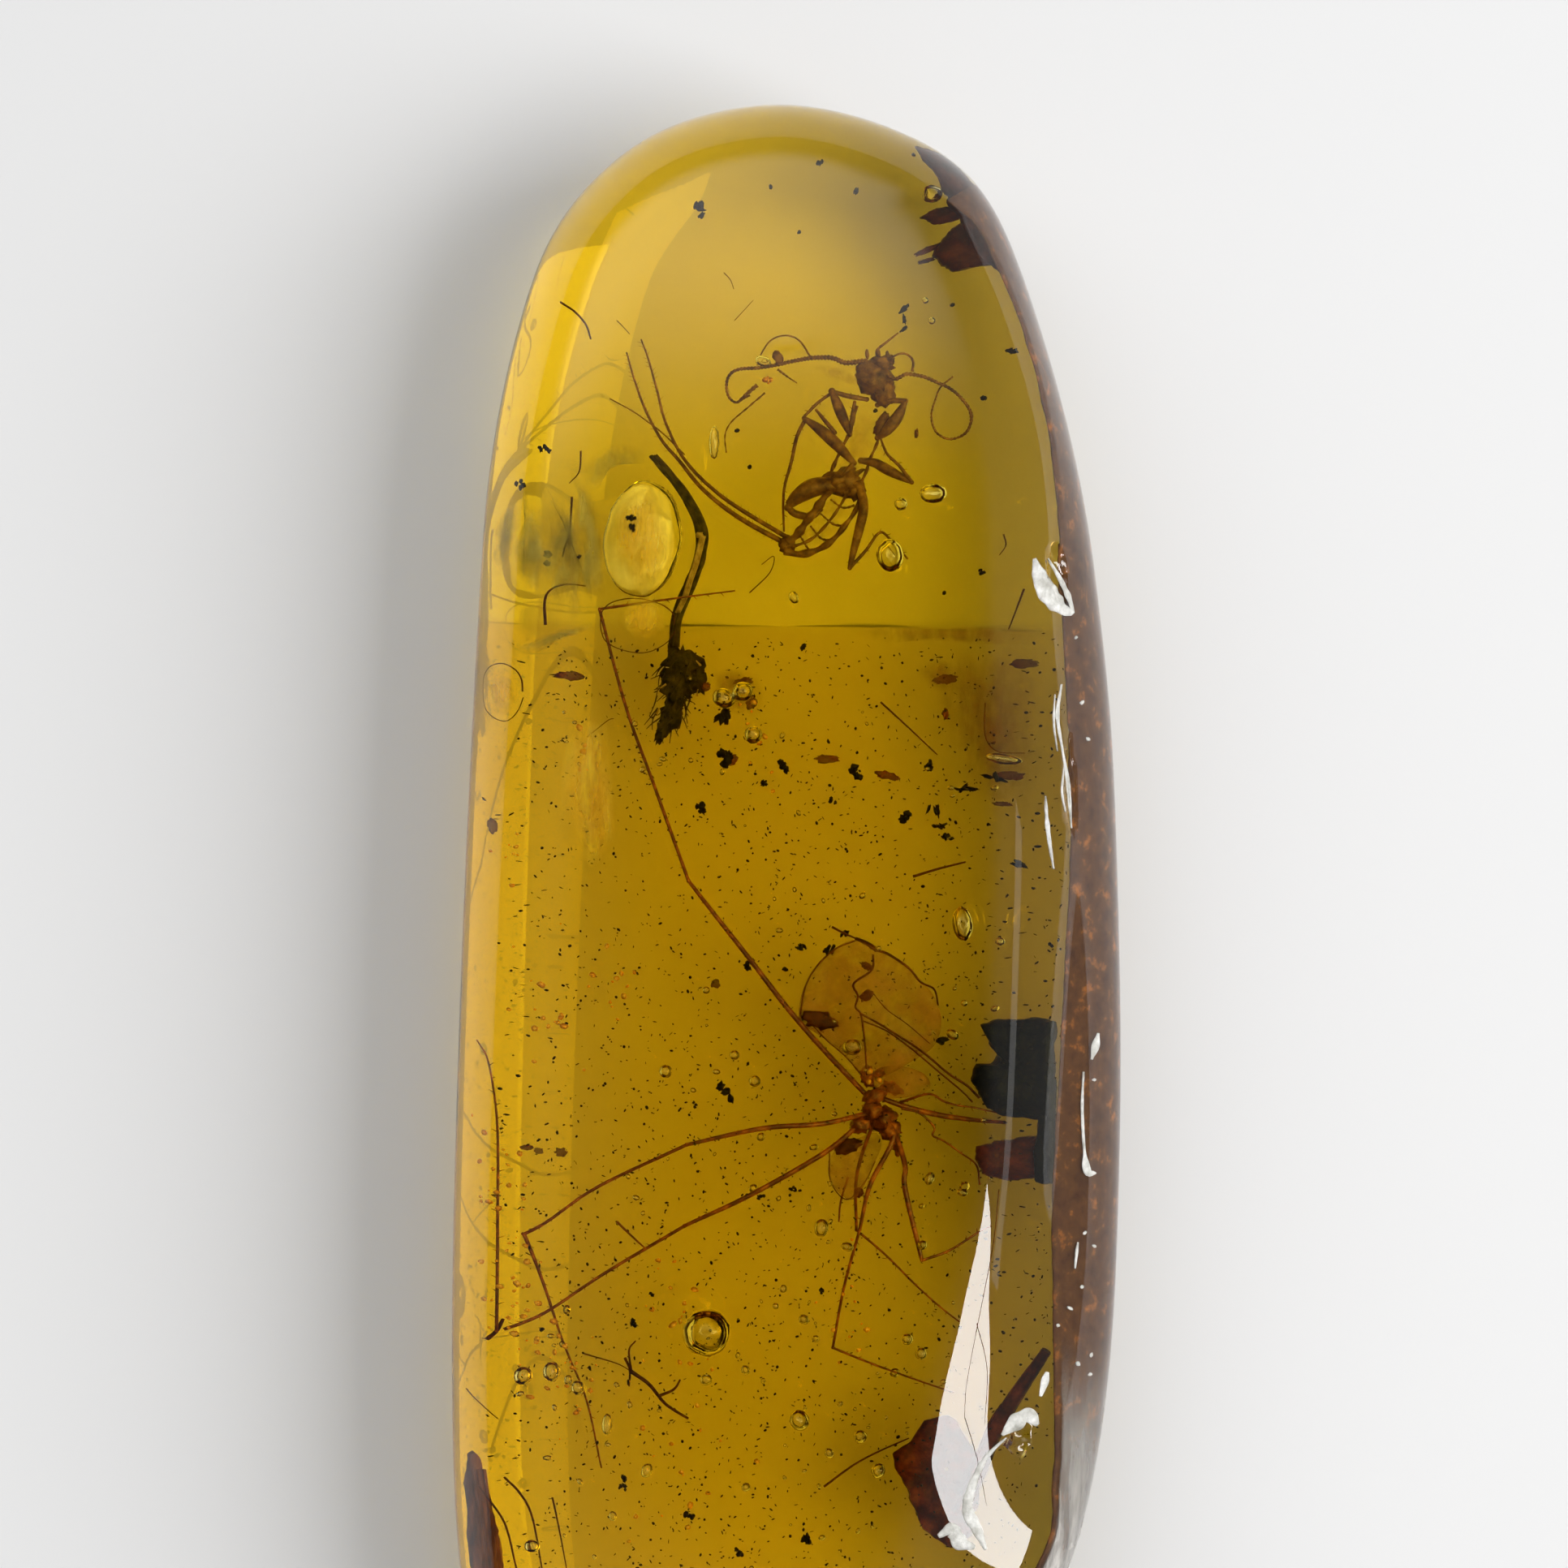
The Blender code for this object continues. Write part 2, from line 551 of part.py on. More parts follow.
def make_plates(stone, dark_bark, charcoal, red_bark, straw):
    """The flat plant pieces: bark flake, charred fragment, leaf scrap and leaf sliver."""
    add_object("bark_flake", plate_mesh(
        [(2.85, 19.1), (3.3, 18.8), (3.45, 18.45), (3.1, 18.3), (3.4, 18.1), (3.8, 18.15),
         (3.75, 17.9), (3.3, 17.45), (3.6, 17.2), (3.95, 16.9), (4.4, 16.85), (4.75, 16.3),
         (4.9, 16.4), (4.65, 16.95), (4.2, 17.7), (3.8, 18.3), (3.3, 18.95)],
        3.9, 4.5), dark_bark)
    fragment = [(4.88, -1.55), (5.65, -1.45), (6.5, -1.6), (6.6, -2.75), (6.5, -5.4),
                (5.0, -5.25), (5.1, -4.35), (6.05, -4.3), (6.05, -3.9), (5.05, -3.75),
                (4.72, -3.4), (4.6, -2.7), (5.13, -2.65), (5.13, -2.2)]
    add_object("charred_fragment", plate_mesh(
        [stone.inside_pocket(point) for point in fragment], 3.1, 4.7), charcoal)
    blade = add_object("leaf_scrap", plate_mesh(
        smooth_path([(3.41, -11.33), (3.99, -11.17), (4.53, -12.09), (4.6, -13.2),
                     (4.45, -14.2), (4.0, -14.45), (3.4, -13.95), (2.97, -12.85),
                     (2.65, -12.3)], 22, closed=True),
        3.3, 3.75, (0.12, 0.0)), red_bark)
    stalk = limb("leaf_stalk", [(4.3, -13.5, 3.6), (5.0, -11.9, 3.8), (5.33, -10.9, 3.9),
                                (5.95, -9.9, 3.95), (6.4, -9.2, 4.0)], 0.2, 0.14, 8)
    boolean(blade, "UNION", [stalk], "leaf_stalks")
    add_object("leaf_sliver", plate_mesh(
        smooth_path([(-7.0, -11.9), (-6.75, -13.0), (-6.5, -14.4), (-6.25, -15.7),
                     (-6.15, -16.5), (-6.6, -15.6), (-6.88, -14.0), (-7.02, -12.8)],
                    16, closed=True),
        2.8, 3.2), straw)


def main():
    clear_scene()
    amber = plain_material("amber", (0.62, 0.36, 0.02), 0.05)
    cuticle = plain_material("fly_cuticle", (0.2, 0.05, 0.01), 0.5)
    brown_cuticle = plain_material("cricket_cuticle", (0.16, 0.07, 0.02), 0.5)
    moss = plain_material("plant_hair", (0.08, 0.07, 0.02), 0.8)
    dark_bark = plain_material("bark", (0.1, 0.03, 0.01), 0.7)
    charcoal = plain_material("charcoal", (0.012, 0.013, 0.02), 0.6)
    red_bark = plain_material("red_leaf", (0.09, 0.02, 0.01), 0.6)
    straw = plain_material("straw", (0.2, 0.09, 0.02), 0.7)
    stone = Stone()
    make_amber_upper(stone, amber)
    make_amber_lower(stone, amber)
    make_crane_fly(cuticle)
    make_cricket(brown_cuticle)
    make_plant_strand(moss)
    make_plates(stone, dark_bark, charcoal, red_bark, straw)


main()
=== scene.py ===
"""Insect in amber: the looks of the stone and of what it holds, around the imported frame.

Lengths are in millimetres unless a name says metres, and every mesh is scaled to metres as
it is made. The stone rests on the floor at Z = 0, with its long axis along Y. Things in the
amber are given by the plan place where they are seen from above, through the curved face.
"""
import math
import random

import bmesh
import bpy
from mathutils import Matrix, Vector, noise
from mathutils.bvhtree import BVHTree


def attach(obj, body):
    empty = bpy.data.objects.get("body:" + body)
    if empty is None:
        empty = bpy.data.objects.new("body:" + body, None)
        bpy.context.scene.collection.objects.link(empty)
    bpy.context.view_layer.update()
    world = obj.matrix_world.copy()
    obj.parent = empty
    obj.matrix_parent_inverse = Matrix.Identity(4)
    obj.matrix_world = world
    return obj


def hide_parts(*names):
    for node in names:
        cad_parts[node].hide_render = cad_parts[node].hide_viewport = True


MM = 0.001

# The stone, with the same driving sizes as its solids
CROWN_HEIGHT = 7.2
GIRDLE_HEIGHT = 3.5
GIRDLE_POINTS = 96
OUTLINE = (
    (0.0, 21.15), (2.17, 20.71), (3.89, 19.91), (4.77, 19.11), (5.53, 17.71), (6.59, 14.51),
    (7.35, 11.31), (7.79, 8.11), (8.07, 4.91), (8.25, -1.2), (8.21, -5.5), (8.05, -9.1),
    (7.69, -12.1), (6.97, -14.9), (5.6, -17.4), (3.0, -20.1), (-0.9, -21.15), (-4.8, -20.2),
    (-7.1, -17.9), (-8.0, -15.3), (-8.25, -9.5), (-8.01, 0.11), (-7.53, 9.7), (-7.21, 12.9),
    (-6.57, 15.8), (-5.7, 18.1), (-4.07, 19.9), (-2.3, 20.8),
)
WALL_WIDTH = ((21.0, 0.5), (18.7, 0.7), (16.0, 0.5), (13.0, 0.55), (8.0, 1.0), (3.0, 1.15),
              (-1.0, 1.45), (-5.7, 1.65), (-9.6, 1.4), (-12.3, 1.05), (-15.0, 0.7),
              (-21.0, 0.9))
WALL_SHARE = ((21.0, 0.0), (20.3, 0.2), (18.5, 1.0), (-14.0, 1.0), (-18.0, 0.3), (-21.0, 0.0))
WALL_BOW = 2.2
EDGE_ROUND = 2.3
EDGE_ARC = math.radians(80)
SIDE_STEPS = 7
ROLL_START = ((21.0, 1.5), (16.0, 4.2), (12.0, 5.1), (8.0, 5.3), (-4.5, 5.2), (-7.5, 4.4),
              (-11.0, 3.0), (-15.0, 2.0), (-21.0, 0.5))
ROLL_DEPTH = 0.9
DOME_DROP = 0.8
DOME_CENTRE_X = 0.8
END_START = 12.0
END_DROP = 0.8
SPINE_REACH = 14.0
FACE_RINGS = (0.1, 0.22, 0.34, 0.46, 0.58, 0.7, 0.82)
BACK_ROUND_LEFT = 2.8
BACK_ROUND_RIGHT = 1.5
BACK_STEPS = 5
STONE_LEVELS = 2

# Chips along the edge of the wall: place, size and turn about Z
CHIPS = (
    ((6.75, 9.3, 6.2), (0.5, 0.9, 0.42), 12),
    ((7.0, 4.2, 6.05), (0.26, 1.5, 0.26), 3),
    ((5.75, -11.3, 6.65), (0.5, 0.62, 0.36), -30),
)

# Amber: what it soaks up along the light's way, and how it bends it
AMBER_IOR = 1.54
AMBER_TINT = (0.985, 0.888, 0.0)
AMBER_DENSITY = 360.0

# The later flow of resin, darker, below a wavy seam across the stone
FLOW_TINT = (0.63, 0.41, 0.0)
FLOW_DENSITY = 52.0
FLOW_SEAM = 8.3
FLOW_END = 20.2
FLOW_BASE = 0.4
FLOW_MARGIN = 0.45
FLOW_SIDES = 32
FLOW_STATIONS = 26

# Nothing that the amber holds comes nearer to its surface than this
SKIN_DEPTH = 0.35

# The flat golden bubble: plan place with its height, half sizes, turn and tilt
FLAT_BUBBLE = ((-3.53, 10.43, 3.8), (0.94, 1.42, 0.16), -6, 9)

# Fields of small bubbles: their number, radii, and where they lie across and along the stone
BUBBLE_FIELDS = (
    (90, (0.03, 0.075), (-5.9, 5.2), (-15.5, 7.0)),
    (18, (0.06, 0.13), (-1.5, 4.6), (-14.0, -1.0)),
    (8, (0.05, 0.1), (-6.6, -2.0), (-13.0, -8.0)),
)
BUBBLE_HEIGHTS = (2.6, 5.6)

# Skins just under the surface: how deep they lie, and how far they run
RIND_DEPTHS = (0.14, 0.2)
RIND_END = -15.5
# The skin in the left edge is painted shade: a dark film that darkens that edge
EDGE_SHADE_DEPTHS = (0.1, 0.15)
EDGE_SHADE_REACH = 0.55
# The pale skin on the low end of the wall is a painted reflection of the bright floor and window
SHEEN_DEPTHS = (0.03, 0.08)
SHEEN_REACH = 0.97
SHEEN_SPAN = (-17.6, -8.0)

# Limbs and feelers
LEG_SIDES = 8
CRANE_FLY_HEIGHT = 3.7
CRICKET_HEIGHT = 4.1

# Specks scattered in the lower flow
SPECK_LAYERS = (2.5, 3.3, 4.1, 4.8)
SPECK_DENSITY = 3.4
SPECK_SIZE = 0.05
SPECK_SEED = 7

# The room: its level, its rise to the right, where it darkens overhead, and a pale ceiling
ROOM_LEVEL = 0.22
ROOM_SIDE = 0.12
ROOM_OVERHEAD = (0.985, 0.9)
CEILING_X = (0.42, 0.08)
CEILING_Y = (0.04, 0.34)
CEILING_Z = (0.25, 0.6)
CEILING_LEVEL = 1.5

# The pale floor
FLOOR_SIZE = 4.0
FLOOR_GREY = 0.86

# Lights: name, place, size, power, and what each one is there for
LIGHTS = (
    ("window", (114, -56, 150), (25, 122), 0.135, "mirrored"),
    ("window_frame", (128, -20, 150), (46, 24), 0.0038, "mirrored"),
    ("sky", (270, -10, 250), (260, 260), 1.15, "on_floor"),
    ("overhead", (120, 10, 270), (260, 110), 0.29, "through_amber"),
    ("window_glow", (240, -10, 190), (140, 200), 0.6, "through_amber"),
)
LIGHT_AIM = (0, 0, 4)

# The camera looks straight down; the frame is this wide at the girdle
FRAME_WIDTH = 38.64
CAMERA_HEIGHT = 120.0
CAMERA_PLACE = (-0.05, 4.39)
SENSOR_WIDTH = 36.0

# How often a ray of light may turn in the amber
LIGHT_BOUNCES = 10


def curve_value(stations, at):
    """Value of a smooth curve through (position, value) stations, held flat past its ends."""
    ordered = sorted(stations)
    if at <= ordered[0][0]:
        return ordered[0][1]
    if at >= ordered[-1][0]:
        return ordered[-1][1]
    for index in range(len(ordered) - 1):
        if at <= ordered[index + 1][0]:
            break
    before = ordered[max(index - 1, 0)]
    low, high = ordered[index], ordered[index + 1]
    after = ordered[min(index + 2, len(ordered) - 1)]
    span = high[0] - low[0]
    slope_low = (high[1] - before[1]) / (high[0] - before[0])
    slope_high = (after[1] - low[1]) / (after[0] - low[0])
    share = (at - low[0]) / span
    square, cube = share ** 2, share ** 3
    return (low[1] * (2 * cube - 3 * square + 1) + slope_low * span * (cube - 2 * square + share)
            + high[1] * (3 * square - 2 * cube) + slope_high * span * (cube - square))


def smooth_path(points, count, closed=False):
    """Evenly spaced points on a curve that runs smoothly through the given points."""
    given = [Vector(point) for point in points]
    total = len(given)
    fine = []
    for index in range(total if closed else total - 1):
        if closed:
            p0, p1, p2, p3 = (given[(index + step) % total] for step in (-1, 0, 1, 2))
        else:
            p1, p2 = given[index], given[index + 1]
            p0 = given[index - 1] if index else 2 * p1 - p2
            p3 = given[index + 2] if index + 2 < total else 2 * p2 - p1
        for step in range(12):
            t = step / 12
            fine.append(0.5 * (2 * p1 + (p2 - p0) * t + (2 * p0 - 5 * p1 + 4 * p2 - p3) * t ** 2
                               + (3 * p1 - p0 - 3 * p2 + p3) * t ** 3))
    fine.append(given[0].copy() if closed else given[-1].copy())
    return spread_along(fine, count, closed)


def spread_along(line, count, closed=False):
    """Evenly spaced points along a line of points."""
    lengths = [0.0]
    for here, there in zip(line, line[1:]):
        lengths.append(lengths[-1] + (there - here).length)
    result = []
    index = 0
    for step in range(count):
        reach = lengths[-1] * step / (count if closed else count - 1)
        while index < len(line) - 2 and lengths[index + 1] < reach:
            index += 1
        span = max(lengths[index + 1] - lengths[index], 1e-9)
        result.append(line[index].lerp(line[index + 1], (reach - lengths[index]) / span))
    return result


def straight_ring(points, count):
    """Evenly spaced points around a ring of straight sides."""
    line = [Vector(point) for point in points]
    return spread_along(line + [line[0].copy()], count, closed=True)


def add_ring(bm, points):
    return [bm.verts.new(point) for point in points]


def bridge(bm, low, high):
    for index in range(len(low)):
        after = (index + 1) % len(low)
        bm.faces.new((low[index], low[after], high[after], high[index]))


def close_with_ladder(bm, ring):
    """Fill a long ring with rungs between its right side and its left side."""
    total = len(ring)
    top = max(range(total), key=lambda index: ring[index].co.y)
    for step in range(total // 2):
        right, below = ring[(top + step) % total], ring[(top + step + 1) % total]
        left, under = ring[(top - step) % total], ring[(top - step - 1) % total]
        corners = []
        for vert in (right, below, under, left):
            if vert not in corners:
                corners.append(vert)
        bm.faces.new(corners)


def add_piece(name, bm, material, smooth=True, sharp=None):
    """Turn a mesh drawn in millimetres into a finished piece of the object."""
    bmesh.ops.scale(bm, vec=(MM, MM, MM), verts=bm.verts)
    bmesh.ops.recalc_face_normals(bm, faces=bm.faces)
    mesh = bpy.data.meshes.new(name)
    bm.to_mesh(mesh)
    bm.free()
    if smooth:
        mesh.shade_smooth()
    if sharp:
        mesh.set_sharp_from_angle(angle=math.radians(sharp))
    mesh.materials.append(material)
    piece = bpy.data.objects.new(name, mesh)
    bpy.context.scene.collection.objects.link(piece)
    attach(piece, "root")
    return piece


def settle(piece):
    """Carry out the modifiers of a piece and keep their result as its mesh."""
    graph = bpy.context.evaluated_depsgraph_get()
    mesh = bpy.data.meshes.new_from_object(piece.evaluated_get(graph))
    piece.modifiers.clear()
    piece.data = mesh


def tube(bm, points, thick, thin, count=None, sides=LEG_SIDES, belly=0.0, knots=0):
    """A closed tube that tapers along its points, with an optional belly and knots."""
    places = smooth_path(points, count) if count else [Vector(point) for point in points]
    last = len(places) - 1
    rings = []
    side = None
    for index, place in enumerate(places):
        share = index / last
        radius = thick + (thin - thick) * share + belly * math.sin(math.pi * share)
        if knots:
            radius *= 1 + 0.22 * math.cos(2 * math.pi * knots * share)
        run = (places[min(index + 1, last)] - places[max(index - 1, 0)]).normalized()
        if side is None:
            side = run.cross(Vector((0.03, 0.05, 1))).normalized()
        side = (side - run * side.dot(run)).normalized()
        up = run.cross(side)
        turns = [2 * math.pi * step / sides for step in range(sides)]
        rings.append(add_ring(bm, [place + radius * (side * math.cos(a) + up * math.sin(a))
                                   for a in turns]))
    for low, high in zip(rings, rings[1:]):
        bridge(bm, low, high)
    bm.faces.new(rings[0])
    bm.faces.new(list(reversed(rings[-1])))


def lump(bm, place, size, turn=0.0, tilt=0.0, detail=3, rough=0.0, inward=False):
    """A rounded lump with the given half sizes, turned about Z, with a rough surface."""
    made = bmesh.ops.create_icosphere(bm, subdivisions=detail, radius=1.0)["verts"]
    pose = (Matrix.Translation(place) @ Matrix.Rotation(math.radians(turn), 4, "Z")
            @ Matrix.Rotation(math.radians(tilt), 4, "Y") @ Matrix.Diagonal((*size, 1)))
    seed = Vector(place) * 3.1
    for vert in made:
        swell = 1 + 1.7 * rough * noise.fractal(vert.co * 2.4 + seed, 0.9, 2.1, 4)
        vert.co = pose @ (vert.co * swell)
    faces = list({face for vert in made for face in vert.link_faces})
    for face in faces:
        face.smooth = True
    if inward:
        bmesh.ops.reverse_faces(bm, faces=faces)


def ring_rows(bm, outline, rows, lift):
    """Rows of points from an outline in to its middle, each set by the lift function."""
    rim = bm.verts.layers.float.get("rim") or bm.verts.layers.float.new("rim")
    centre = sum(outline, Vector()) / len(outline)
    rings = []
    for row in range(rows):
        share = 1 - row / rows
        rings.append(add_ring(bm, [lift(centre.lerp(point, share), share) for point in outline]))
        for vert in rings[-1]:
            vert[rim] = share
    for outer, inner in zip(rings, rings[1:]):
        bridge(bm, outer, inner)
    tip = bm.verts.new(lift(centre.copy(), 0.0))
    inmost = rings[-1]
    for index in range(len(inmost)):
        bm.faces.new((inmost[index], inmost[(index + 1) % len(inmost)], tip))
    return rings[0]


def sheet(bm, outline, thick, wave=0.0, rows=5):
    """A thin closed sheet inside a ring of places, with gentle waves."""
    edges = []
    for side in (0.5, -0.5):
        def lift(place, share, side=side):
            rise = wave * noise.noise(place * 1.3) + side * thick
            return place + Vector((0, 0, rise))
        edges.append(ring_rows(bm, outline, rows, lift))
    bridge(bm, *edges)


def chunk(bm, outline, half, rough=0.12, rows=6, ragged=0.04):
    """A broken piece with a ragged outline and a rough upper and lower side."""
    edge = []
    centre = sum(outline, Vector()) / len(outline)
    for place in outline:
        out = (place - centre).normalized()
        edge.append(place + out * ragged * noise.fractal(place * 4.2, 1.0, 2.0, 4))
    sides = []
    for side in (1, -1):
        def lift(place, share, side=side):
            swell = half * (1 - 0.45 * share ** 5)
            bump = rough * noise.fractal(place * 2.3 + Vector((0, 0, side * 9)), 1.0, 2.1, 5)
            return place + Vector((0, 0, side * (swell + bump)))
        sides.append(ring_rows(bm, edge, rows, lift))
    middle = add_ring(bm, [place + (place - centre).normalized() * 0.04 for place in edge])
    bridge(bm, sides[0], middle)
    bridge(bm, middle, sides[1])


def laid_sheet(bm, sight, points, count, height, thick, wave, rows):
    """A thin sheet in the amber, inside a smooth ring through plan points."""
    ring = smooth_path(points, count, closed=True)
    sheet(bm, [sight.sunk(x, y, height) for x, y in ring], thick, wave, rows)


def laid_chunk(bm, sight, points, count, height, half, rough, rows=6, ragged=0.04):
    """A broken piece in the amber, inside a ring of straight sides through plan points."""
    ring = straight_ring(points, count)
    chunk(bm, [sight.sunk(x, y, height) for x, y in ring], half, rough, rows, ragged)


class Stone:
    """The outline of the stone at its girdle, and the heights of its faces."""

    def __init__(self):
        ring = smooth_path(OUTLINE, GIRDLE_POINTS, closed=True)
        middle = Vector(((min(p.x for p in ring) + max(p.x for p in ring)) / 2,
                         (min(p.y for p in ring) + max(p.y for p in ring)) / 2))
        self.ring = [point - middle for point in ring]
        self.inward = []
        for index, point in enumerate(self.ring):
            run = self.ring[(index + 1) % GIRDLE_POINTS] - self.ring[index - 1]
            self.inward.append(Vector((run.y, -run.x)).normalized())
        self.right = [(point.y, point.x) for point in self.ring if point.x > 0]
        self.left = [(point.y, point.x) for point in self.ring if point.x < 0]

    def wall_share(self, index):
        facing = min(max(-self.inward[index].x * 3, 0), 1)
        return facing * min(max(curve_value(WALL_SHARE, self.ring[index].y), 0), 1)

    def edge_width(self, index):
        share = self.wall_share(index)
        wall = curve_value(WALL_WIDTH, self.ring[index].y)
        return share * wall + (1 - share) * EDGE_ROUND

    def back_width(self, index):
        facing = (1 - self.inward[index].x) / 2
        return facing * BACK_ROUND_RIGHT + (1 - facing) * BACK_ROUND_LEFT

    def face_height(self, x, y):
        side = (x - DOME_CENTRE_X) / 8.0
        height = CROWN_HEIGHT - DOME_DROP * side ** 2
        past_end = max(abs(y) - END_START, 0) / (21.0 - END_START)
        height -= END_DROP * past_end ** 2
        start = curve_value(ROLL_START, y)
        edge = curve_value(self.right, y) - curve_value(WALL_WIDTH, y)
        rolled = max(x - start, 0) / max(edge - start, 1.0)
        return height - ROLL_DEPTH * min(rolled, 1.4) ** 2

    def inset(self, index, distance):
        return self.ring[index] + self.inward[index] * distance

    def side_point(self, index, step):
        share = self.wall_share(index)
        arc = step * EDGE_ARC
        round_across = (1 - math.cos(arc)) / (1 - math.cos(EDGE_ARC))
        round_up = math.sin(arc) / math.sin(EDGE_ARC)
        across = share * step ** WALL_BOW + (1 - share) * round_across
        up = share * step + (1 - share) * round_up
        width = self.edge_width(index)
        edge = self.inset(index, width)
        top = self.face_height(edge.x, edge.y)
        place = self.inset(index, width * across)
        return Vector((place.x, place.y, GIRDLE_HEIGHT + (top - GIRDLE_HEIGHT) * up))

    def back_point(self, index, step):
        arc = step * math.pi / 2
        place = self.inset(index, self.back_width(index) * (1 - math.cos(arc)))
        return Vector((place.x, place.y, GIRDLE_HEIGHT * (1 - math.sin(arc))))

    def towards_spine(self, point, share):
        spine = Vector((0.0, min(max(point.y, -SPINE_REACH), SPINE_REACH)))
        return Vector((point.x, point.y)).lerp(spine, share)


class Sight:
    """Finds where a thing in the amber lies when it is seen from above at a plan place."""

    def __init__(self, clear):
        self.tree = BVHTree.FromObject(clear, bpy.context.evaluated_depsgraph_get())
        self.eye = Vector((*CAMERA_PLACE, GIRDLE_HEIGHT + CAMERA_HEIGHT)) * MM

    def sunk(self, x, y, z):
        ray = (Vector((x, y, GIRDLE_HEIGHT)) * MM - self.eye).normalized()
        hits = []
        for aside in ((0, 0), (0.15, 0), (-0.15, 0), (0, 0.15), (0, -0.15)):
            hit, normal = self.tree.ray_cast(self.eye + Vector((*aside, 0)) * MM, ray)[:2]
            if hit:
                hits.append((hit, normal))
        if not hits:
            return self.kept_inside(Vector((x, y, z)) * MM)
        top = hits[0][0]
        normal = sum((pair[1] for pair in hits), Vector()).normalized()
        slant = -ray.dot(normal)
        ratio = 1 / AMBER_IOR
        bent = ratio * ray + (ratio * slant
                              - math.sqrt(1 - ratio ** 2 * (1 - slant ** 2))) * normal
        return self.kept_inside(top + bent * ((z * MM - top.z) / bent.z))

    def kept_inside(self, place):
        """Move a place that is too near the surface, or past it, back into the amber."""
        near, normal = self.tree.find_nearest(place)[:2]
        if (near - place).dot(normal) < SKIN_DEPTH * MM:
            place = near - normal * SKIN_DEPTH * MM
        return place / MM

    def surface(self, x, y):
        """The place on the skin of the stone that is seen at a plan place, and its normal."""
        ray = (Vector((x, y, GIRDLE_HEIGHT)) * MM - self.eye).normalized()
        hit, normal = self.tree.ray_cast(self.eye, ray)[:2]
        return hit / MM, normal

    def laid(self, points, low, high=None):
        """Plan points set at heights that run from low to high along them."""
        high = low if high is None else high
        last = max(len(points) - 1, 1)
        return [self.sunk(x, y, low + (high - low) * index / last)
                for index, (x, y) in enumerate(points)]

    def path(self, points):
        """Plan points that each have their own height."""
        return [self.sunk(*point) for point in points]


def make_stone(stone, material):
    """The whole clear stone in one piece, smoothed, with a crisp edge along its wall."""
    bm = bmesh.new()
    indexes = range(GIRDLE_POINTS)
    back = [add_ring(bm, [stone.back_point(index, step / BACK_STEPS) for index in indexes])
            for step in range(BACK_STEPS, 0, -1)]
    side = [add_ring(bm, [stone.side_point(index, step / SIDE_STEPS) for index in indexes])
            for step in range(SIDE_STEPS + 1)]
    face = []
    rim = [vert.co.copy() for vert in side[-1]]
    for share in FACE_RINGS:
        plan = [stone.towards_spine(point, share) for point in rim]
        face.append(add_ring(bm, [(p.x, p.y, stone.face_height(p.x, p.y)) for p in plan]))
    rings = back + side + face
    for low, high in zip(rings, rings[1:]):
        bridge(bm, low, high)
    close_with_ladder(bm, rings[0])
    close_with_ladder(bm, rings[-1])
    crease = bm.edges.layers.float.new("crease_edge")
    for index in indexes:
        edge = bm.edges.get((side[-1][index], side[-1][(index + 1) % GIRDLE_POINTS]))
        edge[crease] = 0.75 * stone.wall_share(index)
    piece = add_piece("clear_amber", bm, material)
    modifier = piece.modifiers.new("smooth_stone", "SUBSURF")
    modifier.levels = modifier.render_levels = STONE_LEVELS
    settle(piece)
    return piece


def cut_chips(piece):
    """Break the shell-shaped chips out of the edge of the wall."""
    cutters = []
    for number, (place, size, turn) in enumerate(CHIPS):
        bm = bmesh.new()
        lump(bm, Vector(place), size, turn, 26, detail=4, rough=0.1)
        bmesh.ops.scale(bm, vec=(MM, MM, MM), verts=bm.verts)
        mesh = bpy.data.meshes.new(f"chip_{number}")
        bm.to_mesh(mesh)
        bm.free()
        cutter = bpy.data.objects.new(f"chip_{number}", mesh)
        bpy.context.scene.collection.objects.link(cutter)
        modifier = piece.modifiers.new(f"chip_{number}", "BOOLEAN")
        modifier.operation = "DIFFERENCE"
        modifier.object = cutter
        modifier.solver = "EXACT"
        cutters.append(cutter)
    settle(piece)
    for cutter in cutters:
        bpy.data.objects.remove(cutter, do_unlink=True)


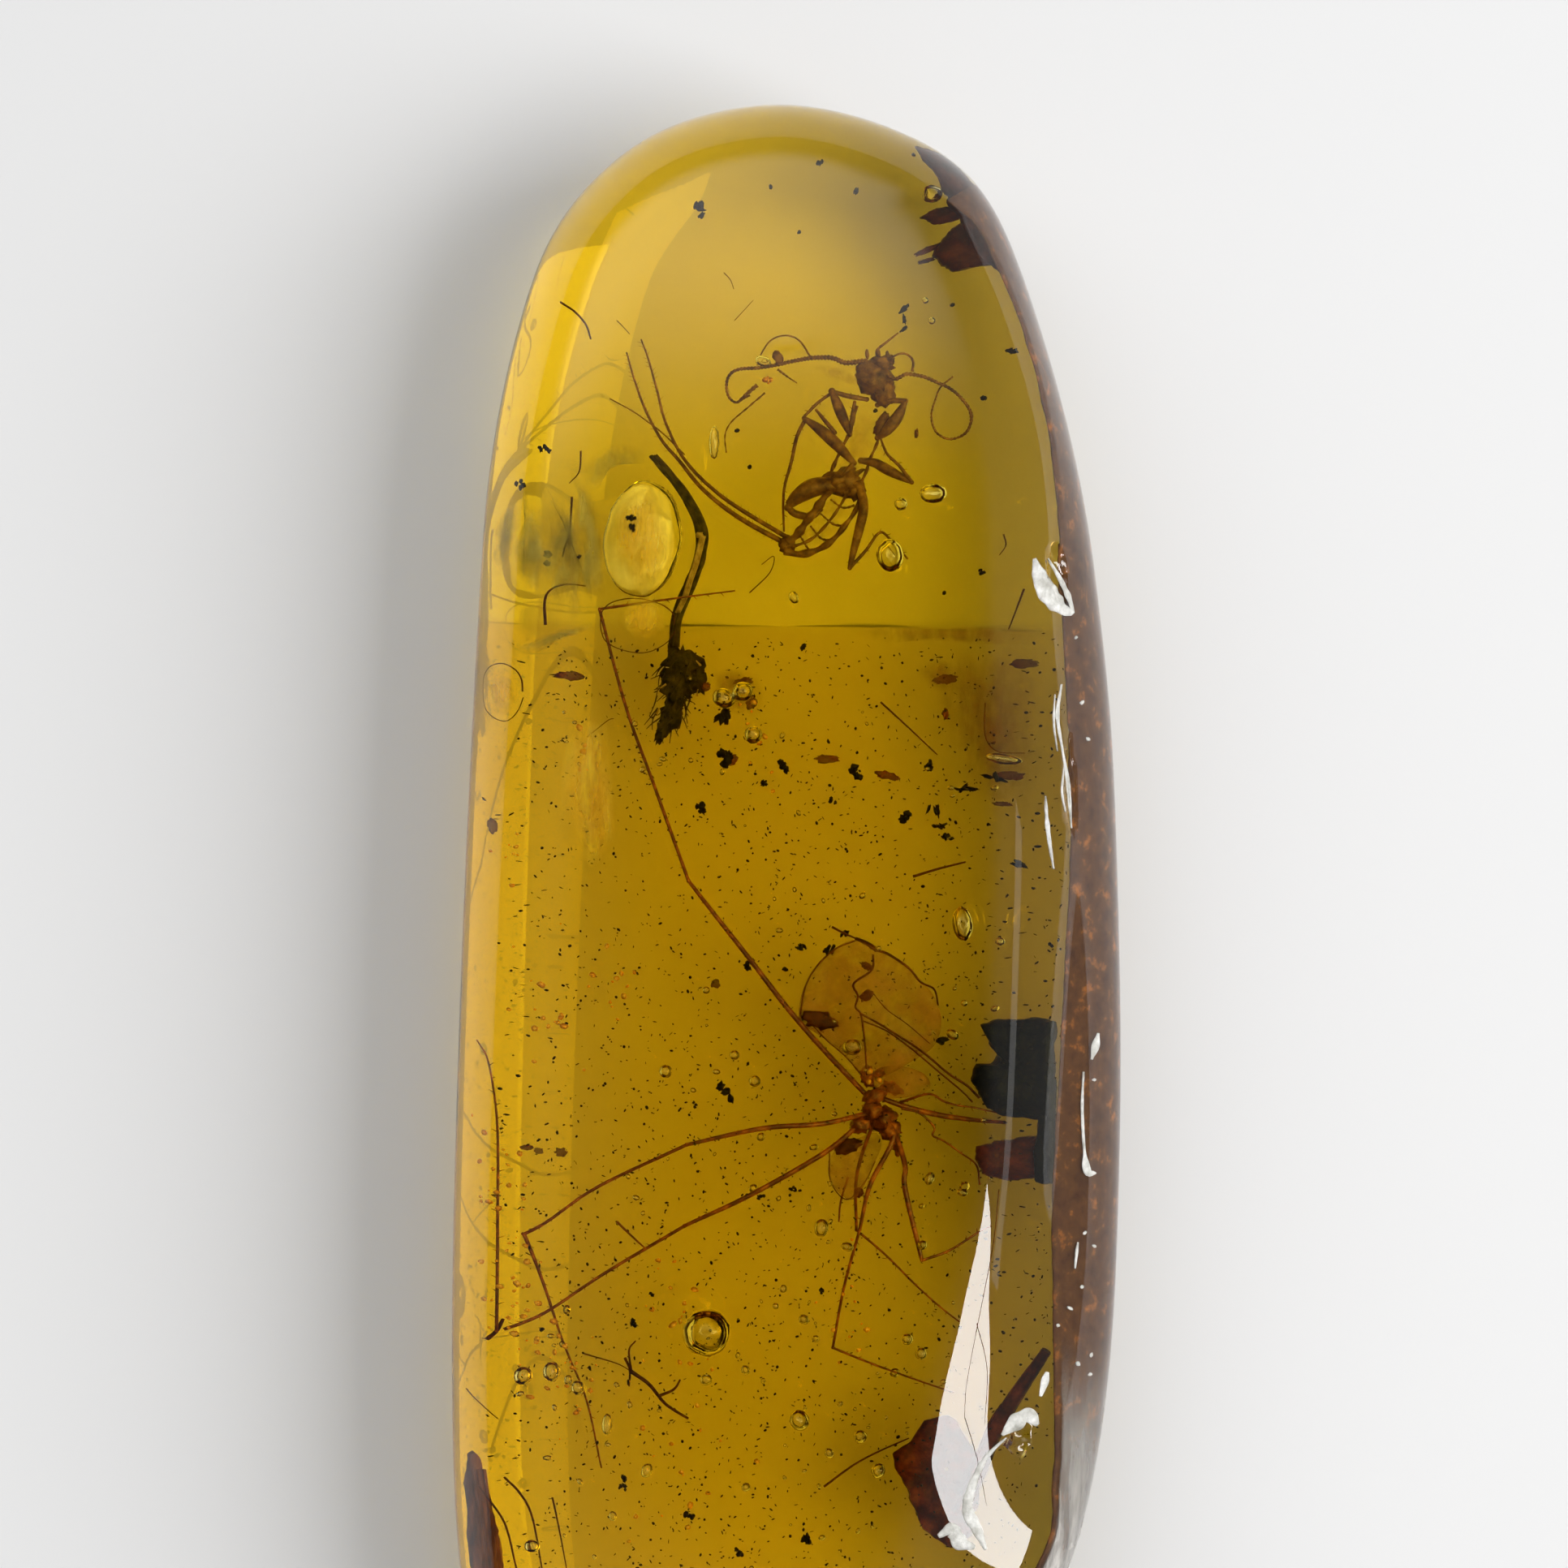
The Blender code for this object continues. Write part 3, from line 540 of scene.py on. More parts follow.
def blow_bubbles(piece, sight):
    """Hollow the bubbles out of the clear stone, as cavities in its mesh."""
    bm = bmesh.new()
    bm.from_mesh(piece.data)
    bmesh.ops.scale(bm, vec=(1 / MM, 1 / MM, 1 / MM), verts=bm.verts)
    source = random.Random(11)
    for x, y, wide, long in (
            (3.63, 11.55, 0.34, 0.24), (2.83, 11.29, 0.16, 0.16), (2.57, 10.03, 0.33, 0.4),
            (3.59, 15.81, 0.09, 0.09), (3.43, 16.31, 0.08, 0.08), (0.19, 8.99, 0.12, 0.16),
            (4.35, 0.95, 0.25, 0.42), (-1.97, -9.13, 0.58, 0.58), (-6.47, -10.19, 0.18, 0.22),
            (-5.77, -10.09, 0.2, 0.25), (-5.13, -10.49, 0.16, 0.18), (-4.41, -11.39, 0.13, 0.26),
            (0.33, -11.29, 0.24, 0.26), (0.87, -6.55, 0.18, 0.22), (-1.53, 6.51, 0.28, 0.24),
            (-1.07, 6.67, 0.26, 0.24), (-0.81, 5.61, 0.22, 0.22), (-0.77, -2.93, 0.14, 0.14),
            (-0.07, -8.05, 0.09, 0.1), (-1.97, -10.29, 0.15, 0.14), (1.83, -11.69, 0.16, 0.16),
            (3.33, -9.65, 0.13, 0.15), (-3.43, -12.53, 0.14, 0.18), (-4.27, -13.65, 0.1, 0.12),
            (-6.27, -14.39, 0.15, 0.15), (2.27, -12.53, 0.16, 0.18), (5.33, 5.01, 0.36, 0.13),
            (5.27, 0.51, 0.1, 0.1), (2.99, -9.29, 0.14, 0.14), (-5.37, -10.29, 0.1, 0.12),
            (-1.27, -2.29, 0.12, 0.12), (-2.97, -2.69, 0.16, 0.16), (1.63, -2.09, 0.24, 0.2),
            (3.63, 18.97, 0.2, 0.15), (-1.77, 12.81, 0.13, 0.4), (-0.57, 14.81, 0.2, 0.13),
            (-1.97, -0.69, 0.09, 0.09), (4.39, -1.01, 0.08, 0.08)):
        place = sight.sunk(x, y, source.uniform(4.5, 5.2))
        lump(bm, place, (wide, long, 0.8 * min(wide, long)), source.uniform(-25, 25),
             source.uniform(-20, 20), detail=3, rough=0.05, inward=True)
    place, size, turn, tilt = FLAT_BUBBLE
    lump(bm, sight.sunk(*place), size, turn, tilt, detail=4, rough=0.02, inward=True)
    for count, radii, across, along in BUBBLE_FIELDS:
        for number in range(count):
            x, y = source.uniform(*across), source.uniform(*along)
            size = source.uniform(*radii)
            place = sight.sunk(x, y, source.uniform(*BUBBLE_HEIGHTS))
            lump(bm, place, (size, size * source.uniform(1, 1.5), size), source.uniform(0, 180),
                 detail=2, inward=True)
    bmesh.ops.scale(bm, vec=(MM, MM, MM), verts=bm.verts)
    bm.to_mesh(piece.data)
    bm.free()


def make_flow(stone, material):
    """The later, darker flow of resin: a body in the stone that begins at the wavy seam."""
    bm = bmesh.new()
    rings = []
    for station in range(FLOW_STATIONS + 1):
        share = station / FLOW_STATIONS
        y = FLOW_SEAM - (FLOW_SEAM + FLOW_END) * share
        right = curve_value(stone.right, y) - 0.35 * curve_value(WALL_WIDTH, y) - FLOW_MARGIN
        left = curve_value(stone.left, y) + FLOW_MARGIN
        middle, half = (right + left) / 2, (right - left) / 2
        low, high = FLOW_BASE, stone.face_height(middle, y) - FLOW_MARGIN
        ring = []
        for step in range(FLOW_SIDES):
            turn = 2 * math.pi * step / FLOW_SIDES
            across = math.copysign(abs(math.cos(turn)) ** 0.75, math.cos(turn))
            up = math.copysign(abs(math.sin(turn)) ** 0.75, math.sin(turn))
            place = Vector((middle + half * across, y, (low + high) / 2 + (high - low) / 2 * up))
            seam = max(1 - share * 6, 0)
            place.y += seam * (0.25 * noise.noise(place * 0.5) + 0.14 * math.sin(place.x * 1.7)
                               + 0.12 * (2.5 - place.z) * 0.4)
            ring.append(place)
        rings.append(add_ring(bm, ring))
    for low, high in zip(rings, rings[1:]):
        bridge(bm, low, high)
    for ring in (rings[0], rings[-1]):
        middle = sum((vert.co for vert in ring), Vector()) / FLOW_SIDES
        tip = bm.verts.new(middle)
        for index in range(FLOW_SIDES):
            bm.faces.new((ring[index], ring[(index + 1) % FLOW_SIDES], tip))
    add_piece("later_flow", bm, material, sharp=50)


def close_grids(bm, outer, inner):
    """Close two facing grids of points into one thin body."""
    high, wide = len(outer), len(outer[0])
    for grid in (outer, inner):
        for row in range(high - 1):
            for column in range(wide - 1):
                bm.faces.new((grid[row][column], grid[row][column + 1],
                              grid[row + 1][column + 1], grid[row + 1][column]))
    border = ([(0, column) for column in range(wide)]
              + [(row, wide - 1) for row in range(1, high)]
              + [(high - 1, column) for column in range(wide - 2, -1, -1)]
              + [(row, 0) for row in range(high - 2, 0, -1)])
    bridge(bm, [outer[row][column] for row, column in border],
           [inner[row][column] for row, column in border])


def skin_band(stone, indexes, side_of, depths, reach, faded_end=False):
    """A closed skin just under the surface of the stone, along the given part of its outline.

    It thins out towards its upper rim, or towards its first end where that is the faded one.
    """
    bm = bmesh.new()
    rim = bm.verts.layers.float.new("rim")
    steps = 8
    grids = []
    for depth in depths:
        columns = []
        for index in indexes:
            column = [side_of(index, reach * step / steps) for step in range(steps + 1)]
            inward = Vector((*stone.inward[index], 0))
            lift = math.copysign(0.5 * depth, GIRDLE_HEIGHT + 0.01 - column[-1].z)
            column = [place + inward * depth + Vector((0, 0, lift)) for place in column]
            columns.append(smooth_path(column, 3 * steps))
        rows = [smooth_path(row, 4 * len(indexes)) for row in zip(*columns)]
        grid = []
        for number, row in enumerate(rows):
            grid.append([bm.verts.new(place + Vector((0.05 * noise.noise(place * 2.1), 0, 0)))
                         for place in row])
            for column, vert in enumerate(grid[-1]):
                if faded_end:
                    vert[rim] = 1 - column / (len(row) - 1)
                else:
                    vert[rim] = number / (len(rows) - 1)
        grids.append(grid)
    close_grids(bm, *grids)
    return bm


def make_wall_skin(stone, rind, edge, painted_sheen):
    """The brown rind in the ground wall, a pale painted reflection along its low end, and a dark film
    of painted shade in the left side's edge.
    """
    wall = [index for index in range(GIRDLE_POINTS)
            if stone.wall_share(index) > 0.5 and stone.ring[index].y > RIND_END]
    bm = skin_band(stone, wall, stone.side_point, RIND_DEPTHS, 1.0)
    add_piece("wall_skin", bm, rind)
    # A dark film inside the left edge: painted shade
    left = [index for index in range(GIRDLE_POINTS) if stone.inward[index].x > 0.35]
    bm = skin_band(stone, left, stone.back_point, EDGE_SHADE_DEPTHS, EDGE_SHADE_REACH)
    add_piece("edge_shade_skin", bm, edge)
    # A pale sheet along the low end of the wall: a painted reflection of the floor and window
    low = [index for index in range(GIRDLE_POINTS)
           if stone.wall_share(index) > 0.3
           and SHEEN_SPAN[0] < stone.ring[index].y < SHEEN_SPAN[1]]
    bm = skin_band(stone, low, stone.side_point, SHEEN_DEPTHS, SHEEN_REACH, faded_end=True)
    add_piece("painted_wall_sheen", bm, painted_sheen)


def bristles(bm, path, count, length, seed, radius=0.012):
    """Fine hairs that stand off a limb along its path."""
    source = random.Random(seed)
    line = smooth_path(path, count + 2)
    for index in range(1, count + 1):
        run = (line[index + 1] - line[index - 1]).normalized()
        side = run.cross(Vector((0, 0, 1))).normalized() * source.choice((-1, 1))
        lean = (side + run * 0.7 + Vector((0, 0, source.uniform(-0.5, 0.5)))).normalized()
        tube(bm, [line[index], line[index] + lean * length * source.uniform(0.6, 1.1)],
             radius, radius * 0.4, sides=4)


def leg(bm, sight, segments, hairs, seed):
    """A jointed leg: each segment has its places and radii, with a knuckle at each joint."""
    for number, (points, thick, thin, belly) in enumerate(segments):
        path = sight.path(points)
        tube(bm, path, thick, thin, 10 * len(path), belly=belly)
        lump(bm, path[0], [thick * 1.25] * 3, detail=2)
        if hairs:
            length = sum((b - a).length for a, b in zip(path, path[1:]))
            bristles(bm, path, max(int(length * hairs), 3), 0.12, seed + number)
    lump(bm, path[-1], [thin * 1.15] * 3, detail=2)


def make_crane_fly(sight, material):
    """The large fly of the lower layer: a broken body with long thin legs."""
    z = CRANE_FLY_HEIGHT
    bm = bmesh.new()
    for number, (x, y, rise, size, turn) in enumerate((
            (2.0, -2.8, 0.15, (0.16, 0.24, 0.2), 10), (2.2, -3.3, 0.1, (0.26, 0.2, 0.26), 30),
            (2.12, -3.62, 0.05, (0.22, 0.26, 0.26), -20), (1.85, -4.0, 0.0, (0.24, 0.2, 0.2), 15),
            (2.58, -4.15, 0.0, (0.24, 0.22, 0.22), 40), (2.42, -3.85, -0.1, (0.3, 0.28, 0.26), 0),
            (2.3, -2.75, 0.2, (0.14, 0.1, 0.12), 0), (2.62, -3.1, 0.0, (0.26, 0.14, 0.14), -25),
            (2.72, -4.45, 0.05, (0.1, 0.3, 0.12), 8), (2.1, -3.0, 0.3, (0.08, 0.08, 0.08), 0))):
        lump(bm, sight.sunk(x, y, z + rise), size, turn, 10, detail=3, rough=0.3)
    legs = (
        [([(2.1, -3.4, z), (0.3, -1.45, z + 0.5), (-0.95, 0.15, z + 0.7), (-2.4, 2.0, z + 0.75)],
          0.062, 0.045, 0.01),
         ([(-2.4, 2.0, z + 0.75), (-3.25, 4.35, z + 0.4), (-3.95, 6.3, z + 0.15),
           (-4.6, 8.7, z - 0.1)], 0.042, 0.036, 0.0),
         ([(-4.6, 8.7, z - 0.1), (-2.85, 8.95, z - 0.2), (-1.27, 9.15, z - 0.3)],
          0.034, 0.018, 0.0)],
        [([(2.1, -3.7, z), (0.9, -3.98, z + 0.4), (-0.6, -4.1, z + 0.6), (-2.45, -4.5, z + 0.6)],
          0.06, 0.045, 0.01),
         ([(-2.45, -4.5, z + 0.6), (-4.75, -5.6, z + 0.2), (-6.45, -6.7, z - 0.2)],
          0.042, 0.036, 0.0),
         ([(-6.45, -6.7, z - 0.2), (-5.57, -9.15, z - 0.5), (-4.93, -10.75, z - 0.7),
           (-4.55, -12.45, z - 0.8)], 0.034, 0.02, 0.0)],
        [([(2.0, -3.8, z), (0.99, -4.67, z + 0.1), (-0.9, -5.75, z + 0.2), (-2.5, -6.5, z + 0.1)],
          0.062, 0.045, 0.01),
         ([(-2.5, -6.5, z + 0.1), (-4.6, -7.75, z - 0.2), (-6.95, -9.05, z - 0.5)],
          0.042, 0.036, 0.0),
         ([(-7.11, -9.09, z - 0.5), (-7.11, -6.29, z - 0.4), (-7.13, -3.91, z - 0.3),
           (-7.35, -2.43, z - 0.2), (-7.6, -1.93, z - 0.2)], 0.026, 0.016, 0.0)],
        [([(2.3, -3.75, z), (2.65, -4.3, z + 0.2), (2.07, -5.5, z + 0.3), (1.81, -6.6, z + 0.2)],
          0.06, 0.04, 0.01),
         ([(1.81, -6.6, z + 0.2), (1.43, -8.0, z - 0.1), (1.15, -9.5, z - 0.3)],
          0.036, 0.032, 0.0),
         ([(1.15, -9.5, z - 0.3), (2.21, -9.93, z - 0.3), (4.13, -10.6, z - 0.3)],
          0.03, 0.02, 0.0)],
        [([(2.6, -3.9, z), (2.93, -4.99, z + 0.4), (2.93, -5.57, z + 0.5), (3.35, -7.35, z + 0.4)],
          0.06, 0.05, 0.01),
         ([(3.35, -7.35, z + 0.4), (4.05, -7.09, z + 0.3), (5.01, -6.51, z + 0.2)],
          0.036, 0.02, 0.0)],
        [([(2.2, -3.8, z), (1.75, -5.2, z - 0.5), (1.73, -6.6, z - 0.7)], 0.05, 0.034, 0.0),
         ([(1.73, -6.6, z - 0.7), (2.45, -7.21, z - 0.8), (3.23, -7.99, z - 0.85),
           (4.25, -8.85, z - 0.9)], 0.03, 0.018, 0.0)],
        [([(2.35, -3.35, z), (3.03, -3.59, z - 0.2), (3.79, -3.77, z - 0.5),
           (4.47, -3.87, z - 0.6), (5.4, -3.95, z - 0.6)], 0.06, 0.04, 0.02)],
        [([(2.83, -3.45, z), (3.51, -3.25, z + 0.3), (3.89, -3.43, z + 0.4),
           (4.23, -3.53, z + 0.4), (4.67, -3.59, z + 0.4), (5.3, -3.73, z + 0.3)],
          0.035, 0.02, 0.0)],
        [([(2.87, -3.61, z), (3.31, -3.73, z), (3.65, -4.07, z - 0.1), (3.61, -4.27, z - 0.1),
           (3.89, -4.41, z - 0.1), (4.29, -4.69, z - 0.1), (4.67, -4.99, z - 0.2),
           (4.77, -5.47, z - 0.2)], 0.03, 0.02, 0.0)],
    )
    for number, segments in enumerate(legs):
        leg(bm, sight, segments, 3.0, 40 * number)
    tube(bm, sight.laid([(-4.17, -6.39), (-3.87, -6.69), (-3.43, -7.09)], z), 0.03, 0.02, 8)
    tube(bm, sight.laid([(1.53, -5.3), (1.35, -5.9), (1.3, -6.4)], z - 0.3), 0.03, 0.02, 8)
    piece = add_piece("crane_fly_body", bm, material)
    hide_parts("crane_fly")


def make_fly_wings(sight, membrane, vein):
    """The fly's two crumpled wings, and the dark veins in them."""
    z = CRANE_FLY_HEIGHT
    bm = bmesh.new()
    upper = smooth_path([(1.95, -2.89), (1.43, -2.29), (0.83, -1.81), (0.39, -1.53),
                         (0.31, -1.21), (0.43, -0.63), (0.73, -0.09), (1.21, 0.35), (1.71, 0.55),
                         (2.27, 0.31), (2.79, 0.05), (3.35, -0.45), (3.71, -0.97), (3.83, -1.53),
                         (3.63, -2.09), (3.03, -2.49), (2.43, -2.81)], 64, closed=True)
    sheet(bm, [sight.sunk(x, y, z + 0.45 + 0.08 * (y + 1.2)) for x, y in upper], 0.03, 0.16, 9)
    lower = [(2.23, -4.21), (1.79, -4.33), (1.31, -4.53), (1.07, -4.89), (1.07, -5.33),
             (1.35, -5.73), (1.67, -5.85), (1.91, -5.53), (2.15, -5.01), (2.35, -4.53)]
    laid_sheet(bm, sight, lower, 40, z - 0.2, 0.03, 0.12, 6)
    patch = [(2.1, -3.05), (2.2, -2.65), (2.8, -2.55), (3.4, -2.75), (3.55, -3.1), (3.1, -3.3),
             (2.5, -3.35)]
    laid_sheet(bm, sight, patch, 32, z + 0.1, 0.05, 0.1, 5)
    add_piece("fly_wings", bm, membrane)
    bm = bmesh.new()
    for points, thick, thin, rise in (
            ([(1.13, 0.87), (1.43, 0.71), (1.71, 0.59)], 0.03, 0.02, 0.5),
            ([(1.71, 0.59), (2.0, 0.46), (2.25, 0.29)], 0.04, 0.06, 0.5),
            ([(2.25, 0.29), (2.53, 0.19), (3.03, -0.15), (3.31, -0.49), (3.65, -0.67),
              (3.75, -1.07)], 0.035, 0.02, 0.5),
            ([(2.15, 0.19), (2.11, -0.19), (1.67, -0.53), (1.77, -0.83), (1.71, -1.11),
              (1.85, -1.31), (1.95, -2.09), (1.99, -2.79)], 0.03, 0.02, 0.5),
            ([(1.81, -1.25), (2.35, -1.55), (2.73, -1.79), (3.11, -2.03), (3.51, -2.33),
              (3.79, -2.57), (4.09, -2.81), (4.47, -3.05), (4.77, -3.35)], 0.026, 0.03, 0.5),
            ([(1.9, -1.45), (2.45, -1.68), (3.05, -2.1), (3.7, -2.65), (4.3, -3.15),
              (4.6, -3.45)], 0.022, 0.02, 0.45),
            ([(2.15, -0.77), (2.49, -1.17), (2.99, -1.53), (3.55, -2.01)], 0.014, 0.012, 0.5),
            ([(0.35, -1.3), (0.47, -0.63), (0.77, -0.09), (1.23, 0.33), (1.71, 0.53)],
             0.018, 0.02, 0.5),
            ([(0.63, -1.53), (1.03, -1.95), (1.47, -2.33), (1.87, -2.79)], 0.014, 0.016, 0.4),
            ([(1.07, -4.7), (1.1, -5.4), (1.5, -5.85), (1.95, -5.4), (2.2, -4.9)],
             0.015, 0.012, -0.2)):
        tube(bm, sight.laid(points, z + rise), thick, thin, 8 * len(points))
    for x, y, size, turn, rise in ((0.83, -1.42, (0.42, 0.2, 0.05), -12, 0.5),
                                   (1.98, -0.83, (0.16, 0.12, 0.05), 30, 0.5),
                                   (1.79, -5.67, (0.1, 0.12, 0.05), 0, -0.2),
                                   (1.52, -4.55, (0.3, 0.16, 0.06), 20, -0.1),
                                   (2.0, -0.1, (0.14, 0.08, 0.04), -30, 0.5)):
        lump(bm, sight.sunk(x, y, z + rise), size, turn, rough=0.3)
    add_piece("fly_wing_veins", bm, vein)


def make_cricket(sight, material):
    """The slender cricket of the upper layer: dark head and limbs, feelers and tail threads."""
    z = CRICKET_HEIGHT
    bm = bmesh.new()
    for x, y, rise, size, turn, rough in (
            (2.15, 14.45, 0.1, (0.42, 0.45, 0.38), 8, 0.22),
            (2.35, 14.75, 0.15, (0.3, 0.2, 0.28), 10, 0.3),
            (2.4, 14.05, 0.05, (0.28, 0.32, 0.3), -25, 0.22),
            (2.0, 14.72, 0.2, (0.2, 0.1, 0.12), 0, 0.2),
            (2.28, 14.0, 0.25, (0.14, 0.1, 0.1), 30, 0.3),
            (1.42, 11.85, -0.1, (0.42, 0.3, 0.28), 10, 0.35),
            (1.65, 11.65, -0.1, (0.24, 0.24, 0.22), 0, 0.35),
            (0.02, 10.28, -0.3, (0.2, 0.2, 0.17), 20, 0.2),
            (2.36, 13.25, 0.15, (0.14, 0.3, 0.16), -25, 0.2)):
        lump(bm, sight.sunk(x, y, z + rise), size, turn, 0, 3, rough)
    for x, y in ((2.0, 14.98), (2.28, 15.0), (2.5, 14.95), (2.62, 14.85)):
        lump(bm, sight.sunk(x, y, z + 0.2), (0.05, 0.13, 0.05), 5, 0, 2, 0.1)
    feelers = (
        ([(2.03, 14.77), (1.91, 14.81), (1.47, 14.77), (1.13, 14.89), (0.65, 14.89),
          (0.17, 14.81), (-0.17, 14.73), (-0.65, 14.65), (-1.15, 14.61), (-1.39, 14.47),
          (-1.47, 14.21), (-1.41, 13.93), (-1.23, 13.79), (-1.05, 13.89), (-0.89, 13.97)],
         0.062, 0.026, 0.3, 0.2, 56),
        ([(0.65, 14.89), (0.55, 14.99), (0.41, 15.23), (0.17, 15.41), (-0.13, 15.43),
          (-0.41, 15.29), (-0.61, 14.99), (-0.71, 14.71)], 0.022, 0.016, 0.3, 0.3, 0),
        ([(2.43, 14.55), (2.69, 14.37), (2.97, 14.49), (3.37, 14.43), (3.71, 14.29),
          (4.05, 14.13), (4.33, 13.89), (4.53, 13.59), (4.55, 13.29), (4.39, 13.01),
          (4.05, 12.89), (3.75, 13.01), (3.61, 13.25), (3.59, 13.55), (3.69, 13.89),
          (3.81, 14.17), (4.11, 14.43)], 0.046, 0.02, 0.3, -0.1, 60),
        ([(2.55, 14.87), (2.79, 14.99), (2.99, 14.97), (3.13, 14.81), (3.11, 14.55)],
         0.02, 0.034, 0.3, 0.3, 0),
        ([(2.25, 14.91), (2.25, 15.09), (2.49, 15.29), (2.77, 15.51)], 0.036, 0.02, 0.1, 0.1, 0),
        ([(-0.21, 14.61), (0.03, 14.43), (0.27, 14.27)], 0.028, 0.014, 0.2, 0.2, 6),
        ([(-0.71, 14.22), (-0.95, 14.02), (-1.2, 13.79)], 0.05, 0.03, 0.2, 0.2, 5),
        ([(-0.52, 14.03), (-1.0, 13.62), (-1.36, 13.3), (-1.5, 12.98), (-1.47, 12.55)],
         0.022, 0.014, 0.2, 0.0, 9),
    )
    for points, thick, thin, low, high, knots in feelers:
        tube(bm, sight.laid(points, z + low, z + high), thick, thin, 14 * len(points),
             knots=knots)
    lump(bm, sight.sunk(-0.19, 14.9, z + 0.3), (0.12, 0.17, 0.07), 25, 0, 2, 0.3)
    legs = (
        [([(1.99, 13.87, z), (1.53, 13.95, z + 0.1), (1.13, 14.07, z + 0.2)], 0.05, 0.05, 0.01),
         ([(1.13, 14.07, z + 0.2), (1.33, 13.59, z + 0.3), (1.57, 13.0, z + 0.3)],
          0.07, 0.05, 0.07),
         ([(1.57, 13.0, z + 0.3), (1.63, 13.4, z + 0.35), (1.69, 13.8, z + 0.3)],
          0.05, 0.035, 0.01)],
        [([(1.13, 14.03, z), (0.79, 13.79, z), (0.45, 13.45, z)], 0.04, 0.035, 0.0),
         ([(0.45, 13.4, z), (0.85, 13.11, z), (1.23, 12.77, z), (1.67, 12.3, z)],
          0.055, 0.06, 0.09),
         ([(1.67, 12.3, z), (1.5, 12.1, z), (1.33, 11.9, z)], 0.06, 0.07, 0.0)],
        [([(0.75, 13.6, z + 0.1), (0.95, 13.35, z + 0.1), (1.2, 13.05, z + 0.1)],
          0.03, 0.05, 0.01)],
        [([(0.47, 13.37, z - 0.1), (0.27, 12.95, z - 0.1), (0.13, 12.33, z - 0.2),
           (-0.03, 11.75, z - 0.2), (-0.07, 11.27, z - 0.3), (-0.05, 10.63, z - 0.3)],
          0.05, 0.025, 0.0)],
        [([(2.25, 13.73, z + 0.1), (2.59, 13.83, z + 0.2), (2.95, 13.83, z + 0.3)],
          0.05, 0.06, 0.01),
         ([(2.95, 13.83, z + 0.3), (2.75, 13.45, z + 0.3), (2.49, 13.11, z + 0.3),
           (2.25, 12.92, z + 0.2)], 0.05, 0.06, 0.09)],
        [([(2.31, 12.95, z + 0.2), (2.49, 12.53, z + 0.3), (2.79, 12.23, z + 0.3),
           (3.1, 11.82, z + 0.2)], 0.024, 0.05, 0.0),
         ([(3.1, 11.82, z + 0.2), (2.45, 12.16, z + 0.1), (2.19, 12.3, z), (1.85, 12.36, z)],
          0.045, 0.07, 0.07)],
        [([(1.3, 11.75, z), (0.73, 11.71, z), (0.33, 11.5, z), (0.05, 11.25, z)],
          0.14, 0.1, 0.11),
         ([(0.05, 11.2, z), (0.23, 11.05, z - 0.1), (0.63, 10.98, z - 0.1),
           (0.87, 11.15, z - 0.1)], 0.08, 0.04, 0.03)],
        [([(1.53, 11.95, z - 0.1), (1.75, 11.75, z), (1.87, 11.51, z + 0.1),
           (1.91, 11.17, z + 0.2), (1.81, 10.69, z + 0.2), (1.67, 10.15, z + 0.2),
           (1.57, 9.71, z + 0.2)], 0.08, 0.055, 0.05),
         ([(1.57, 9.71, z + 0.2), (1.97, 10.15, z + 0.1), (2.31, 10.59, z),
           (2.59, 10.39, z), (2.99, 9.95, z - 0.1)], 0.045, 0.022, 0.0)],
    )
    for number, segments in enumerate(legs):
        leg(bm, sight, segments, 5.0, 500 + 30 * number)
    edges = (
        ([(1.75, 13.71), (1.59, 13.11), (1.33, 12.57), (1.13, 12.13), (1.05, 11.89)], 0.03, 0.05),
        ([(2.3, 13.4), (2.3, 13.0), (2.23, 12.75), (2.07, 12.39), (1.98, 12.11),
          (1.85, 11.8)], 0.03, 0.04),
        ([(1.33, 11.87), (1.13, 11.75), (0.85, 11.31), (0.55, 10.93), (0.27, 10.53),
          (0.03, 10.35)], 0.1, 0.1),
        ([(1.83, 11.71), (1.75, 11.21), (1.43, 10.73), (1.13, 10.39), (0.75, 10.15),
          (0.31, 10.05), (-0.03, 10.15)], 0.04, 0.1),
        ([(1.63, 11.87), (1.43, 11.41), (1.07, 10.87), (0.63, 10.43), (0.15, 10.23)],
         0.03, 0.04),
        ([(1.1, 11.4), (1.4, 11.2), (1.68, 11.25)], 0.02, 0.03),
        ([(0.85, 11.05), (1.15, 10.8), (1.4, 10.75)], 0.02, 0.03),
        ([(0.6, 10.75), (0.85, 10.45), (1.05, 10.4)], 0.02, 0.03),
        ([(0.35, 10.5), (0.5, 10.25), (0.62, 10.1)], 0.02, 0.03),
    )
    for points, thick, thin in edges:
        tube(bm, sight.laid(points, z + 0.05, z - 0.2), thick, thin, 8 * len(points), knots=5)
    tails = (
        ([(0.13, 10.27), (-0.07, 10.35), (-1.15, 10.95), (-2.05, 11.65), (-2.63, 12.35),
          (-3.07, 12.87), (-3.45, 13.57), (-3.71, 14.27), (-3.93, 15.03)], 0.07, 0.018, -0.4),
        ([(0.07, 10.47), (-0.15, 10.57), (-1.47, 11.39), (-2.43, 12.29), (-2.95, 13.25),
          (-3.19, 14.13), (-3.39, 14.85), (-3.57, 15.35)], 0.06, 0.018, 0.0),
        ([(-2.5, 12.5), (-3.0, 13.0), (-3.39, 13.3), (-3.77, 13.57), (-4.35, 13.89)],
         0.018, 0.014, -0.1),
    )
    for points, thick, thin, rise in tails:
        tube(bm, sight.laid(points, z - 0.3, z + rise), thick, thin, 10 * len(points))
    for points, count, length, seed in ((tails[0][0], 60, 0.14, 3), (tails[1][0], 60, 0.14, 4)):
        bristles(bm, sight.laid(points, z - 0.3, z - 0.2), count, length, seed, 0.006)
    piece = add_piece("cricket_body", bm, material)
    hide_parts("cricket")


